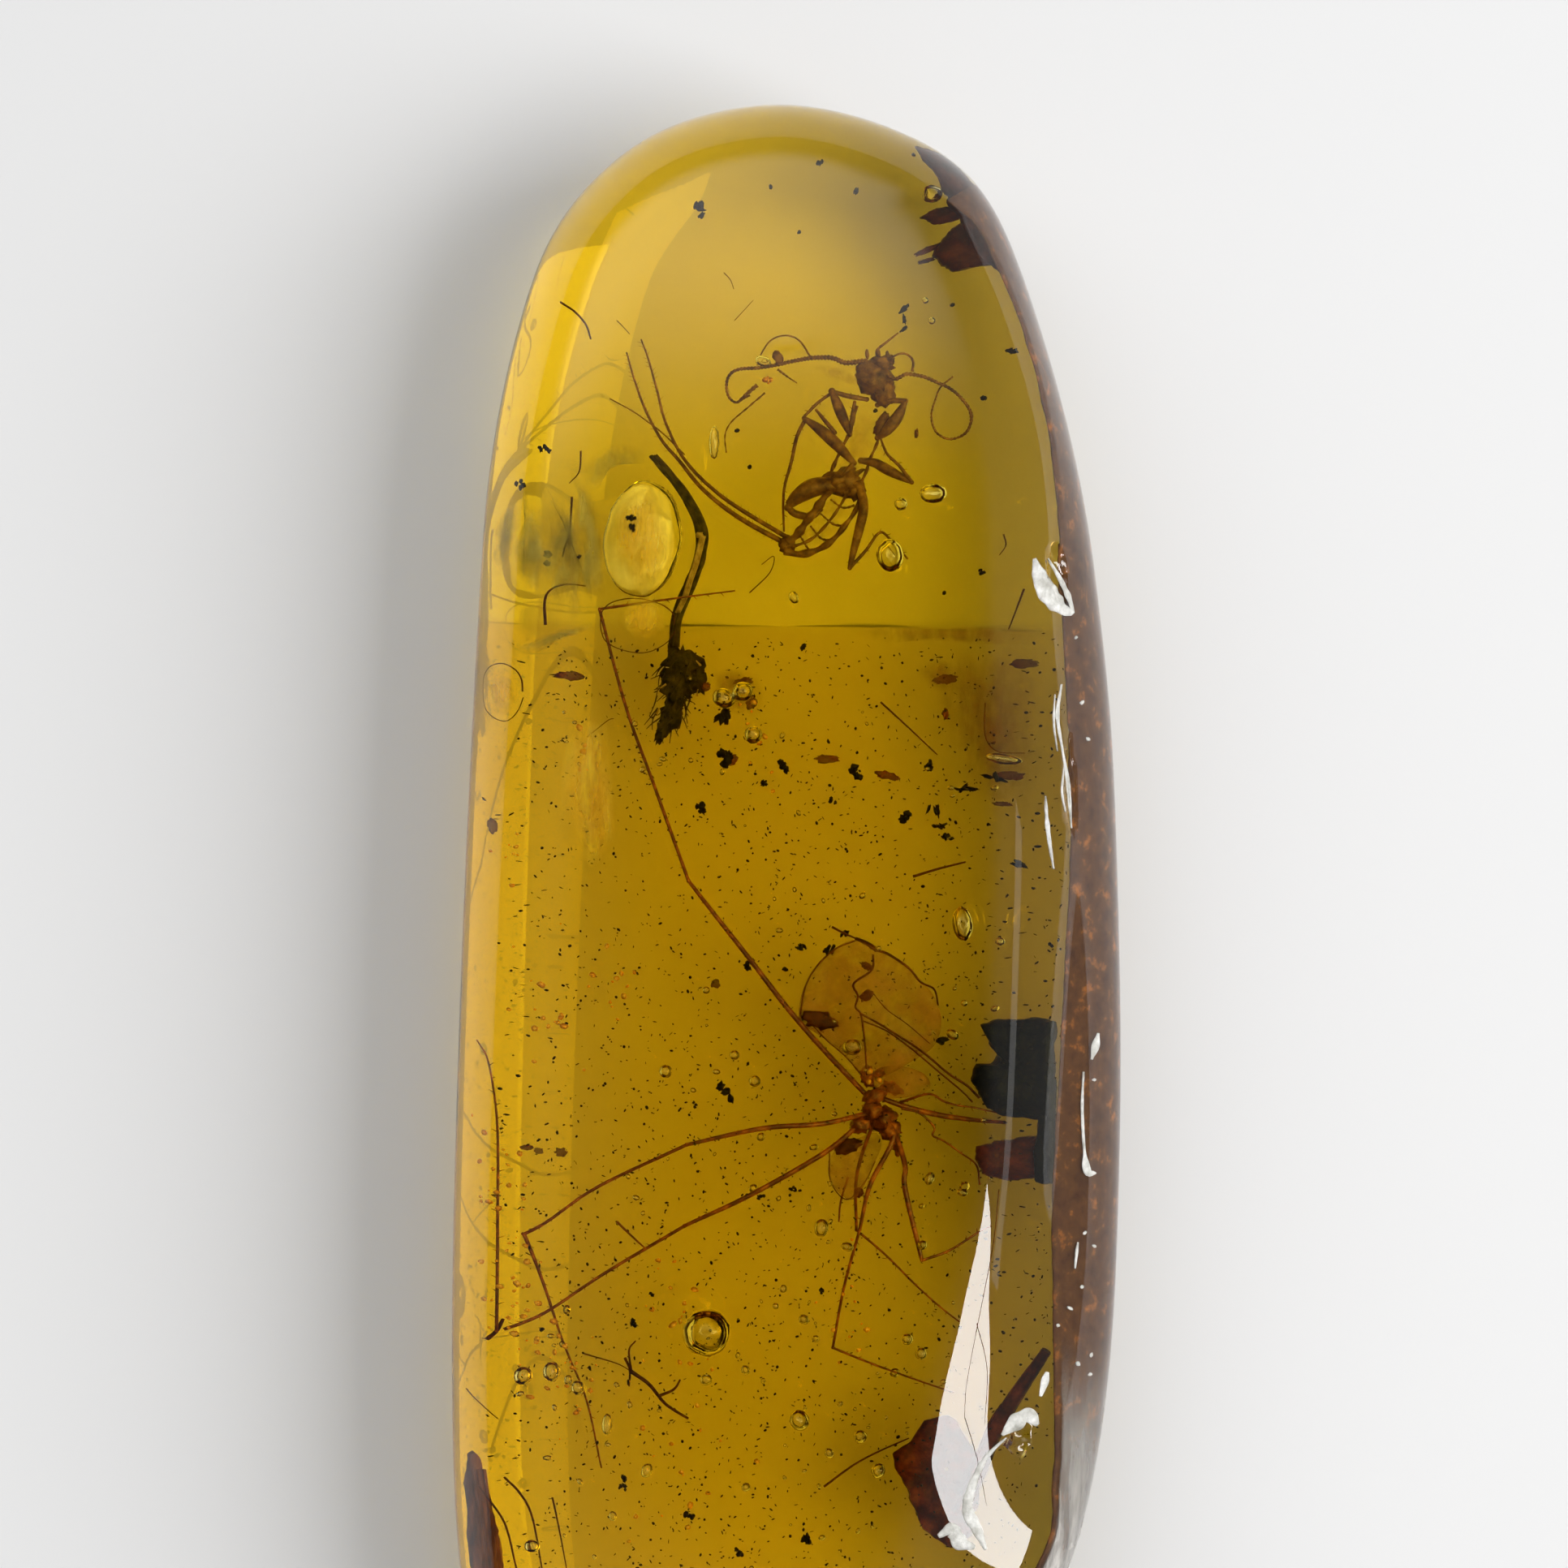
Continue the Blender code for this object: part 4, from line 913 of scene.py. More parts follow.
def make_cricket_skin(sight, material):
    """The parts of the cricket that light shines through: chest, abdomen and neck shield."""
    z = CRICKET_HEIGHT
    bm = bmesh.new()
    chest = [(1.75, 13.71), (1.59, 13.11), (1.33, 12.57), (1.13, 12.13), (1.05, 11.89),
             (1.85, 11.8), (2.07, 12.39), (2.23, 12.75), (2.3, 13.2), (2.4, 13.7)]
    laid_sheet(bm, sight, chest, 40, z, 0.1, 0.15, 6)
    belly = [(1.4, 11.87), (1.13, 11.7), (0.85, 11.31), (0.55, 10.93), (0.27, 10.53),
             (0.0, 10.25), (0.31, 10.08), (0.75, 10.17), (1.13, 10.42), (1.43, 10.76),
             (1.72, 11.21), (1.8, 11.65)]
    laid_sheet(bm, sight, belly, 44, z - 0.15, 0.3, 0.2, 6)
    shield = [(0.61, 14.68), (0.95, 14.44), (1.33, 14.3), (1.71, 14.16), (1.9, 14.3),
              (1.5, 14.6), (1.0, 14.75)]
    laid_sheet(bm, sight, shield, 30, z + 0.1, 0.03, 0.1, 5)
    add_piece("cricket_skin", bm, material)


def make_strand(sight, material, pale):
    """The bent strand beside the flat bubble, its twig, and its tuft of plant hair."""
    bm = bmesh.new()
    line = [(-3.25, 12.47), (-2.97, 12.15), (-2.61, 11.71), (-2.37, 11.31), (-2.17, 10.91),
            (-2.07, 10.47), (-2.13, 9.91), (-2.33, 9.39), (-2.53, 8.91), (-2.69, 8.41),
            (-2.77, 7.79)]
    source = random.Random(21)
    for fibre in range(16):
        aside = source.uniform(-0.1, 0.1)
        path = [(x + aside + source.uniform(-0.03, 0.03), y + source.uniform(-0.04, 0.04))
                for x, y in line]
        tube(bm, sight.laid(path, source.uniform(2.9, 3.2), source.uniform(2.6, 2.9)),
             0.03, 0.035, 44, sides=6, belly=0.02)
    for x, y, size, turn in ((-2.5, 7.35, (0.42, 0.3, 0.2), -50), (-2.65, 6.85, (0.34, 0.4, 0.2), 10),
                             (-2.3, 6.95, (0.26, 0.3, 0.16), 30), (-2.8, 6.2, (0.2, 0.42, 0.14), -12),
                             (-3.05, 5.75, (0.12, 0.32, 0.1), -25)):
        lump(bm, sight.sunk(x, y, 2.75), size, turn, 0, 3, 0.6)
    for fibre in range(110):
        x, y = source.gauss(-2.6, 0.2), source.uniform(5.9, 7.7)
        x -= (7.0 - y) * 0.16
        lean, length = source.gauss(250, 28), source.uniform(0.25, 0.7)
        run = Vector((math.cos(math.radians(lean)), math.sin(math.radians(lean))))
        mid = (x + run.x * length * 0.5 + source.uniform(-0.08, 0.08), y + run.y * length * 0.5)
        end = (x + run.x * length, y + run.y * length)
        tube(bm, sight.laid([(x, y), mid, end], source.uniform(2.6, 3.0), source.uniform(2.5, 3.1)),
             0.022, 0.01, 7, sides=5)
    piece = add_piece("strand_and_tuft", bm, material)
    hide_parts("plant_strand")
    bm = bmesh.new()
    for aside in (-0.03, 0.02, 0.06):
        tube(bm, sight.laid([(-2.07 + aside, 10.5), (-2.21 + aside, 9.91), (-2.37 + aside, 9.43),
                             (-2.51 + aside, 8.99), (-2.69 + aside, 8.61)], 3.45, 3.25),
             0.035, 0.025, 24, sides=6)
    lump(bm, sight.sunk(-2.12, 10.52, 3.45), (0.1, 0.08, 0.08), 0, 0, 2, 0.3)
    for x, y, turn in ((-2.1, 7.3, 40), (-2.95, 6.85, 10), (-2.2, 6.55, -30), (-3.2, 6.1, 20)):
        tube(bm, sight.laid([(x, y), (x + 0.18 * math.cos(turn), y + 0.18 * math.sin(turn))], 3.0),
             0.03, 0.015, 6, sides=5)
    add_piece("twig", bm, pale)


def make_flake(sight, material):
    """The bark flake at the top right, with its spike and its lobe."""
    bm = bmesh.new()
    body = [(3.19, 20.1), (3.83, 19.9), (4.47, 19.45), (5.03, 18.85), (5.47, 17.95),
            (5.75, 17.05), (5.85, 16.7), (5.4, 17.0), (4.9, 17.3), (4.5, 17.9), (4.2, 18.5),
            (3.75, 19.4)]
    laid_chunk(bm, sight, body, 90, 4.2, 0.26, 0.14)
    lobe = [(4.45, 18.25), (4.95, 18.0), (5.3, 17.3), (5.1, 17.2), (4.55, 17.15), (4.15, 17.05),
            (3.85, 17.2), (3.68, 17.42), (3.78, 17.62), (3.99, 17.95)]
    laid_chunk(bm, sight, lobe, 70, 4.0, 0.22, 0.12)
    spike = [(3.33, 18.36), (3.79, 18.56), (4.23, 18.66), (4.6, 18.5), (4.2, 18.3), (3.67, 18.2)]
    laid_chunk(bm, sight, spike, 50, 4.1, 0.1, 0.05, 5)
    lump(bm, sight.sunk(3.5, 17.56, 3.95), (0.24, 0.06, 0.06), 22, 0, 3, 0.3)
    lump(bm, sight.sunk(3.45, 17.28, 3.95), (0.16, 0.05, 0.05), 12, 0, 3, 0.3)
    piece = add_piece("flake", bm, material, sharp=60)
    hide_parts("bark_flake")


def make_fragment(sight, charcoal, red):
    """The charred fragment by the wall, with its notch, its slot and the red-brown block."""
    bm = bmesh.new()
    notched = [(4.83, -1.6), (5.19, -1.45), (5.63, -1.41), (6.13, -1.43), (6.57, -1.47),
               (6.57, -2.89), (6.57, -3.9), (5.87, -3.83), (5.45, -3.77), (4.97, -3.59),
               (4.77, -3.25), (4.63, -2.85), (4.71, -2.51), (5.1, -2.5), (5.22, -2.3),
               (5.01, -2.0)]
    laid_chunk(bm, sight, notched, 120, 3.9, 0.62, 0.16, 8, 0.06)
    column = [(6.27, -3.6), (6.57, -3.6), (6.57, -5.43), (6.25, -5.41)]
    laid_chunk(bm, sight, column, 70, 3.9, 0.5, 0.1, 4, 0.05)
    piece = add_piece("charred_piece", bm, charcoal, sharp=55)
    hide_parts("charred_fragment")
    bm = bmesh.new()
    block = [(4.71, -4.55), (5.43, -4.38), (6.35, -4.33), (6.35, -5.32), (5.43, -5.33),
             (4.83, -5.21)]
    laid_chunk(bm, sight, block, 80, 3.7, 0.4, 0.12, 5, 0.08)
    add_piece("red_block", bm, red, sharp=55)


def make_leaf(sight, material):
    """The red-brown leaf scrap at the lower right, with its stalk."""
    bm = bmesh.new()
    blade = [(3.41, -11.33), (3.99, -11.19), (4.2, -11.33), (4.63, -12.09), (4.75, -13.09),
             (4.55, -14.1), (4.07, -14.43), (3.39, -13.97), (2.99, -12.95), (2.69, -12.38),
             (2.67, -12.1), (3.02, -11.89)]
    laid_chunk(bm, sight, blade, 110, 3.5, 0.2, 0.16, 10, 0.04)
    tube(bm, sight.laid([(4.27, -13.65), (4.73, -12.59), (5.07, -11.69), (5.43, -11.05),
                         (5.87, -10.37), (6.43, -9.57)], 3.7, 4.2), 0.16, 0.14, 40, belly=0.05)
    tube(bm, sight.laid([(4.3, -13.5), (4.7, -12.3), (5.0, -11.4), (5.3, -10.9)], 3.9, 4.1),
         0.05, 0.03, 24)
    piece = add_piece("leaf_and_stalk", bm, material, sharp=60)
    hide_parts("leaf_scrap")


def make_sliver(sight, material):
    """The leaf sliver at the lower left edge."""
    bm = bmesh.new()
    blade = smooth_path([(-7.85, -12.25), (-7.6, -12.2), (-7.4, -12.9), (-7.15, -14.0),
                         (-6.95, -15.2), (-6.85, -16.4), (-7.2, -16.6), (-7.6, -15.6),
                         (-7.85, -14.0)], 80, closed=True)
    chunk(bm, [sight.sunk(x, y, 3.0) for x, y in blade], 0.12, 0.05, 5, 0.03)
    for aside in (-0.15, 0.0, 0.15):
        tube(bm, sight.laid([(-7.6 + aside, -12.5), (-7.4 + aside, -14.0), (-7.2 + aside, -16.0)],
                            3.12), 0.03, 0.03, 20, sides=6)
    piece = add_piece("sliver", bm, material, sharp=60)
    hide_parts("leaf_sliver")


def make_hairs(sight, material):
    """Loose plant hairs, thin folds and twigs that lie about in the amber, and two dark loops of
    painted shade at bubble rims.
    """
    bm = bmesh.new()
    for points, height, thick in (
            ([(-7.57, -12.89), (-7.25, -13.33), (-6.93, -13.89), (-6.65, -14.93)], 3.6, 0.022),
            ([(-6.93, -12.69), (-6.57, -13.05), (-6.25, -13.65), (-6.01, -14.93)], 3.4, 0.02),
            ([(-5.77, -13.19), (-5.61, -13.89), (-5.41, -14.93)], 3.5, 0.022),
            ([(-7.37, -9.29), (-7.11, -9.09), (-7.01, -8.79)], 3.2, 0.04),
            ([(-7.9, -10.5), (-7.57, -10.85), (-7.13, -11.25)], 3.2, 0.014),
            ([(-5.57, 16.27), (-5.21, 16.03), (-4.93, 15.71), (-4.81, 15.35)], 4.4, 0.026),
            ([(-4.17, 15.81), (-3.85, 15.47)], 4.4, 0.012),
            ([(-1.53, 16.99), (-1.37, 16.81), (-1.29, 16.59)], 4.6, 0.012),
            ([(-1.27, 15.81), (-0.81, 16.31)], 4.6, 0.01),
            ([(5.35, 10.55), (5.43, 10.27), (5.27, 10.03)], 4.6, 0.014),
            ([(0.93, -12.93), (1.83, -12.29), (3.03, -11.73)], 3.2, 0.028),
            ([(-5.93, 8.31), (-5.93, 8.87), (-5.85, 9.15), (-5.57, 9.29), (-5.25, 9.31),
              (-4.93, 9.27)], 4.2, 0.026),
            ([(-5.29, 11.47), (-5.31, 10.91), (-5.33, 10.59), (-5.43, 10.27), (-5.53, 9.99)],
             4.2, 0.02),
            ([(2.33, 6.41), (3.03, 5.77), (3.73, 5.11)], 3.6, 0.024),
            ([(3.13, 2.11), (3.79, 2.31), (4.43, 2.47)], 3.6, 0.034),
            ([(-4.97, -9.65), (-4.17, -9.89), (-3.81, -10.09)], 3.8, 0.02),
            ([(-3.81, -10.09), (-3.37, -10.41), (-2.97, -10.89), (-2.41, -11.25)], 3.8, 0.05),
            ([(-3.81, -10.09), (-3.87, -9.57), (-3.71, -9.33)], 3.8, 0.03),
            ([(-3.13, -10.69), (-2.77, -10.53), (-2.61, -10.29)], 3.8, 0.04),
            ([(-3.97, -9.75), (-3.85, -10.05), (-3.87, -10.45)], 3.9, 0.035),
            ([(-4.9, 5.55), (-4.4, 5.95), (-4.25, 6.0)], 3.9, 0.016),
            ([(4.9, 6.4), (4.9, 5.6), (5.2, 5.2), (5.9, 5.15)], 4.2, 0.014),
            ([(-5.05, 12.6), (-5.1, 12.1), (-5.35, 11.8)], 4.1, 0.016),
            ([(-0.9, 9.1), (-0.4, 9.6), (-0.3, 10.0), (-0.6, 9.8)], 4.0, 0.016),
            ([(5.9, 9.2), (5.6, 8.6), (5.5, 8.2)], 4.0, 0.016)):
        tube(bm, sight.laid(points, height, height - 0.2), thick, thick * 0.6, 12 * len(points),
             sides=6)
    # Two dark loops at the rims of flat bubbles: painted shade
    for x, y, wide, long in ((-3.69, 8.31, 0.93, 0.68), (-7.0, 6.67, 0.5, 0.72)):
        loop = [(x + wide * math.cos(a * 0.38) * (1 + 0.06 * math.sin(a * 1.3)),
                 y + long * math.sin(a * 0.38) * (1 + 0.05 * math.cos(a * 0.9)))
                for a in range(17)]
        tube(bm, sight.laid(loop, 4.3), 0.016, 0.01, 120, sides=6)
    add_piece("plant_hairs", bm, material)


def make_crumbs(sight, dark, rusty):
    """Crumbs of bark and soot, each a small broken cluster in its own place."""
    source = random.Random(5)
    black = bmesh.new()
    brown = bmesh.new()
    for x, y, wide, long in (
            (-2.11, 18.61, 0.14, 0.28), (2.89, 15.87, 0.12, 0.34), (-5.97, 12.65, 0.18, 0.14),
            (-6.57, 11.81, 0.14, 0.20), (-5.85, 10.03, 0.14, 0.20), (-1.63, 6.01, 0.36, 0.18),
            (-1.57, 5.01, 0.30, 0.34), (1.73, 4.71, 0.22, 0.26), (3.53, 4.81, 0.24, 0.18),
            (-0.07, 4.81, 0.22, 0.20), (1.13, 3.95, 0.12, 0.12), (-0.57, 4.41, 0.12, 0.10),
            (-2.11, 3.81, 0.18, 0.20), (4.43, 4.27, 0.36, 0.06), (2.93, 3.55, 0.24, 0.26),
            (3.63, 3.75, 0.34, 0.08), (3.83, 3.35, 0.26, 0.08), (4.03, 3.09, 0.22, 0.10),
            (5.73, 2.39, 0.30, 0.12), (-0.87, -0.09, 0.24, 0.20), (-0.03, -0.19, 0.12, 0.10),
            (0.35, 0.39, 0.22, 0.10), (3.83, -1.93, 0.14, 0.34), (5.55, 15.03, 0.16, 0.14),
            (-3.81, 10.95, 0.14, 0.14), (-3.78, 10.72, 0.14, 0.12), (4.87, 9.61, 0.12, 0.12),
            (-2.25, -3.53, 0.10, 0.10), (-1.45, -3.19, 0.22, 0.32), (0.19, -5.57, 0.12, 0.10),
            (-0.63, -5.79, 0.12, 0.08), (-4.01, -12.79, 0.12, 0.22), (-2.37, -13.65, 0.14, 0.16),
            (-1.17, -14.57, 0.14, 0.20), (0.51, -14.13, 0.16, 0.26), (-3.33, -8.21, 0.12, 0.10),
            (0.87, -8.09, 0.08, 0.08), (5.71, -12.25, 0.12, 0.12), (6.55, 0.41, 0.06, 0.10),
            (-3.77, -8.85, 0.08, 0.20), (1.03, 0.31, 0.30, 0.08), (1.43, 0.71, 0.22, 0.08),
            (0.33, 18.0, 0.03, 0.05), (1.73, 19.0, 0.04, 0.03),
            (0.83, 19.7, 0.06, 0.02), (3.13, 19.9, 0.05, 0.05), (-0.37, 19.1, 0.03, 0.03),
            (2.2, 13.6, 0.04, 0.04), (-0.9, 12.2, 0.05, 0.03), (4.1, 16.2, 0.04, 0.04),
            (3.9, 9.1, 0.03, 0.05), (-1.2, 13.1, 0.06, 0.04), (4.9, 13.9, 0.03, 0.03),
            (0.43, 7.71, 0.14, 0.18), (5.07, 4.55, 0.34, 0.14), (-5.1, 10.0, 0.08, 0.08)):
        angle = source.uniform(0, 180)
        for part in range(source.randint(3, 6)):
            aside = Vector((source.gauss(0, 0.32) * wide, source.gauss(0, 0.32) * long))
            height = 5.1 if x < -3.7 and y > 10.6 else source.uniform(3.6, 4.4)
            lump(black, sight.sunk(x + aside.x, y + aside.y, height),
                 (max(wide * 0.36, 0.035), max(long * 0.32, 0.035), 0.05),
                 angle + source.uniform(-40, 40), source.uniform(-30, 30), 2, 0.5)
    for x, y, wide, long in (
            (-7.23, 3.37, 0.20, 0.34), (-1.73, -0.53, 0.20, 0.20), (3.21, 13.03, 0.09, 0.22),
            (-6.37, -4.57, 0.18, 0.12), (-6.09, -4.65, 0.16, 0.14), (-5.53, -4.69, 0.26, 0.20),
            (-1.97, 6.79, 0.18, 0.20), (3.93, 6.11, 0.14, 0.26), (-1.33, 4.99, 0.22, 0.26),
            (5.83, 7.35, 0.26, 0.22), (3.93, 6.97, 0.48, 0.22), (-1.05, 6.9, 0.4, 0.2),
            (-0.85, 6.4, 0.25, 0.3), (-5.3, 7.05, 0.5, 0.2), (1.0, 5.0, 0.5, 0.2),
            (2.5, 4.6, 0.5, 0.18), (5.5, 4.6, 0.4, 0.2), (5.3, 3.9, 0.3, 0.1)):
        lump(brown, sight.sunk(x, y, source.uniform(3.2, 3.8)), (wide * 0.5, long * 0.5, 0.05),
             source.uniform(-15, 15), 0, 3, 0.35)
    add_piece("crumbs", black, dark)
    add_piece("rusty_crumbs", brown, rusty)


def make_glints(sight, material):
    """Small bright orange discs in the amber: painted glints, standing for spangles that throw the
    light back.
    """
    source = random.Random(17)
    bm = bmesh.new()
    for x, y, spread, count in ((-6.9, -5.6, 0.7, 22), (-6.6, -8.6, 0.8, 30), (-5.4, -10.0, 0.8, 26),
                                (-4.9, 5.0, 0.5, 10), (-5.9, -1.0, 0.9, 18), (1.6, -8.6, 0.7, 12),
                                (2.2, -2.9, 0.2, 5), (-0.9, 5.6, 0.6, 9), (-4.2, -0.8, 0.6, 12),
                                (-0.45, 14.4, 0.1, 5), (-2.6, -8.7, 0.5, 8),
                                (-2.9, -9.3, 1.2, 12), (7.4, 6.6, 0.35, 14), (7.2, 8.2, 0.3, 8),
                                (-2.4, -12.6, 1.6, 14), (-6.9, 2.6, 0.5, 8)):
        for number in range(count):
            place = sight.sunk(source.gauss(x, spread * 0.5), source.gauss(y, spread),
                               source.uniform(3.8, 5.0))
            size = source.uniform(0.025, 0.085)
            lump(bm, place, (size, size * source.uniform(0.6, 1.4), 0.008),
                 source.uniform(0, 180), source.uniform(-35, 35), 1, 0.2)
    add_piece("glints", bm, material)


def make_veils(sight, smoky, brown):
    """Smoky folds beside the flat bubble, and the brown stain along the seam."""
    bm = bmesh.new()
    for points, height in (
            ([(-5.13, 11.71), (-4.97, 12.27), (-4.53, 12.67), (-4.01, 12.83), (-3.53, 12.67),
              (-3.37, 12.31), (-3.8, 12.3), (-4.37, 12.1), (-4.7, 11.6)], 4.3),
            ([(-6.73, 7.71), (-6.01, 8.11), (-5.37, 8.31), (-4.67, 8.35), (-4.93, 8.15),
              (-5.57, 7.91), (-6.27, 7.55)], 4.1),
            ([(-6.6, 7.7), (-6.0, 8.0), (-5.3, 8.22), (-4.9, 8.25), (-5.5, 8.0), (-6.2, 7.7)],
             4.4)):
        laid_sheet(bm, sight, points, 60, height, 0.02, 0.3, 7)
    source = random.Random(37)
    for number in range(15):
        x, y = source.uniform(-7.0, -4.5), source.uniform(9.4, 12.4)
        wide, long = source.uniform(0.12, 0.4), source.uniform(0.6, 1.5)
        lean, height = source.uniform(-0.35, 0.1), source.uniform(3.9, 4.9)
        edge = []
        for step in range(28):
            turn = 2 * math.pi * step / 28
            along = long * math.sin(turn)
            edge.append(sight.sunk(x + wide * math.cos(turn) * (1 - 0.3 * math.sin(turn))
                                   + lean * along + 0.1 * math.sin(along * 3), y + along, height))
        sheet(bm, edge, 0.02, 0.3, 5)
    add_piece("smoky_folds", bm, smoky)
    bm = bmesh.new()
    for points, height in (
            ([(1.43, 8.19), (2.43, 8.3), (3.83, 8.27), (5.43, 8.31), (6.6, 8.19), (6.3, 7.85),
              (5.03, 7.8), (3.43, 7.9), (2.23, 7.85)], 4.0),
            ([(3.19, 7.11), (3.43, 7.39), (3.95, 7.47), (4.35, 7.19), (4.23, 6.75),
              (3.63, 6.67)], 4.0),
            ([(-1.9, 7.1), (-1.2, 7.3), (-0.6, 7.0), (-0.5, 6.2), (-1.1, 6.0), (-1.8, 6.4)], 3.7),
            ([(3.5, 7.6), (4.5, 7.9), (6.2, 7.9), (6.4, 5.5), (6.2, 3.5), (5.0, 3.6),
              (3.9, 5.5)], 3.4)):
        laid_sheet(bm, sight, points, 60, height, 0.02, 0.2, 7)
    add_piece("brown_stains", bm, brown)


def make_gleams(sight, material):
    """Golden films of painted light: a painted reflection over the flat bubble and a painted glow along
    the left side.
    """
    bm = bmesh.new()
    for x, y, wide, long, lean, height in (
            (-3.75, 10.75, 0.6, 1.1, 0.35, 4.95), (-3.45, 10.2, 0.8, 1.2, 0.0, 4.7),
            (-4.9, 4.5, 0.75, 1.9, 0.0, 5.0), (-4.65, 3.6, 0.5, 1.5, 0.0, 4.9),
            (-3.5, 8.5, 0.6, 0.6, 0.0, 4.6), (-7.0, 6.67, 0.42, 0.62, 0.0, 4.2)):
        edge = []
        for step in range(48):
            turn = 2 * math.pi * step / 48
            swell = 1 + 0.2 * noise.noise(Vector((x, y + 2 * math.cos(turn), 2 * math.sin(turn))))
            along = long * swell * math.sin(turn)
            edge.append(sight.sunk(x + wide * swell * math.cos(turn) + lean * along,
                                   y + along, height))
        sheet(bm, edge, 0.02, 0.14, 7)
    add_piece("painted_glow_films", bm, material)


def make_hairline(sight, material):
    """The fine crack that runs up through the bright reflection at the lower right."""
    bm = bmesh.new()
    for points in ([(5.25, -5.6), (5.1, -7.0), (4.75, -8.8), (4.45, -10.4), (4.4, -11.2)],
                   [(4.7, -8.9), (4.95, -10.0), (4.9, -11.4)],
                   [(4.4, -11.2), (4.7, -12.2), (4.95, -13.4)]):
        line = smooth_path([(x, y, 0) for x, y in points], 24)
        path = []
        for place in line:
            top, normal = sight.surface(place.x, place.y)
            path.append(top - normal * 0.004)
        tube(bm, path, 0.014, 0.008, sides=5)
    add_piece("hairline", bm, material)


def make_scars_and_glare(sight, material):
    """The white chip scars and scratches on the skin of the stone along the wall: partly frosted
    breaks, partly painted reflection of the window.
    """
    source = random.Random(29)
    bm = bmesh.new()

    def shard(x, y, wide, long, turn):
        place, normal = sight.surface(x, y)
        made = bmesh.ops.create_icosphere(bm, subdivisions=2, radius=1.0)["verts"]
        lean = normal.to_track_quat("Z", "Y").to_matrix().to_4x4()
        pose = (Matrix.Translation(place - normal * 0.012) @ lean
                @ Matrix.Rotation(math.radians(turn), 4, "Z")
                @ Matrix.Diagonal((wide, long, 0.02, 1)))
        for vert in made:
            swell = 1 + 0.4 * noise.fractal(vert.co * 2.3 + place * 3, 1.0, 2.1, 3)
            vert.co = pose @ (vert.co * swell)

    def streak(points):
        """A smooth pearly scar through places that each have their own half width."""
        line = smooth_path(points, 12 * len(points))
        grids = ([], [])
        for index, place in enumerate(line):
            ahead = line[min(index + 1, len(line) - 1)] - line[max(index - 1, 0)]
            aside = Vector((ahead.y, -ahead.x)).normalized()
            half = place.z * (1 + 0.4 * noise.noise(Vector((place.x, place.y, 2)) * 4))
            rows = ([], [])
            for step in range(9):
                share = step / 4 - 1
                x, y = place.x + aside.x * half * share, place.y + aside.y * half * share
                top, normal = sight.surface(x, y)
                ripple = 0.02 * noise.fractal(top * 6, 1.0, 2.1, 3)
                swell = max(0.03 * (1 - share ** 2) + ripple * (1 - abs(share)), 0.002)
                rows[0].append(bm.verts.new(top + normal * swell))
                rows[1].append(bm.verts.new(top - normal * 0.015))
            for grid, row in zip(grids, rows):
                grid.append(row)
        close_grids(bm, *grids)

    for points in (
            [(6.12, 9.95, 0.05), (6.22, 9.6, 0.16), (6.42, 9.15, 0.24), (6.75, 8.75, 0.16),
             (7.05, 8.58, 0.05)],
            [(6.45, 9.95, 0.03), (6.75, 9.45, 0.06), (6.98, 8.95, 0.07), (7.08, 8.6, 0.03)],
            [(6.79, 6.85, 0.02), (6.69, 6.1, 0.05), (6.8, 5.3, 0.03), (6.95, 4.4, 0.055),
             (7.03, 3.3, 0.02)],
            [(6.62, 6.6, 0.01), (6.6, 5.9, 0.028), (6.68, 5.2, 0.01)],
            [(6.39, 4.1, 0.02), (6.45, 3.3, 0.06), (6.59, 2.3, 0.02)],
            [(6.85, 4.9, 0.01), (6.8, 4.2, 0.03), (6.88, 3.7, 0.01)],
            [(7.7, -1.75, 0.03), (7.62, -2.1, 0.09), (7.53, -2.4, 0.03)],
            [(7.33, -2.7, 0.02), (7.3, -3.6, 0.035), (7.35, -4.6, 0.04), (7.43, -5.15, 0.1),
             (7.62, -5.2, 0.03)],
            [(6.2, -11.4, 0.06), (5.95, -11.16, 0.2), (5.6, -11.4, 0.17), (5.32, -11.66, 0.04)],
            [(5.43, -11.72, 0.02), (5.09, -12.03, 0.05), (4.82, -12.37, 0.07),
             (4.54, -13.04, 0.11), (4.48, -13.52, 0.15), (4.68, -13.93, 0.15),
             (4.92, -14.47, 0.06)],
            [(3.75, -14.15, 0.05), (4.07, -14.0, 0.18), (4.3, -14.3, 0.2), (4.65, -14.42, 0.06)],
            [(6.44, -10.1, 0.04), (6.36, -10.4, 0.11), (6.27, -10.7, 0.04)],
            [(7.19, -6.9, 0.015), (7.16, -7.2, 0.035), (7.12, -7.55, 0.015)]):
        streak(points)
    for x, y in ((7.37, -6.67), (7.6, -7.0), (7.0, -8.53), (6.71, -8.95), (7.53, -9.68),
                 (7.5, -10.16), (7.6, -2.9), (7.2, -9.9), (7.3, -8.0), (7.15, 8.0), (7.3, 6.4),
                 (7.45, 5.5)):
        shard(x, y, source.uniform(0.03, 0.06), source.uniform(0.05, 0.12),
              source.uniform(-30, 30))
    add_piece("frosty_scars_and_painted_glare", bm, material)


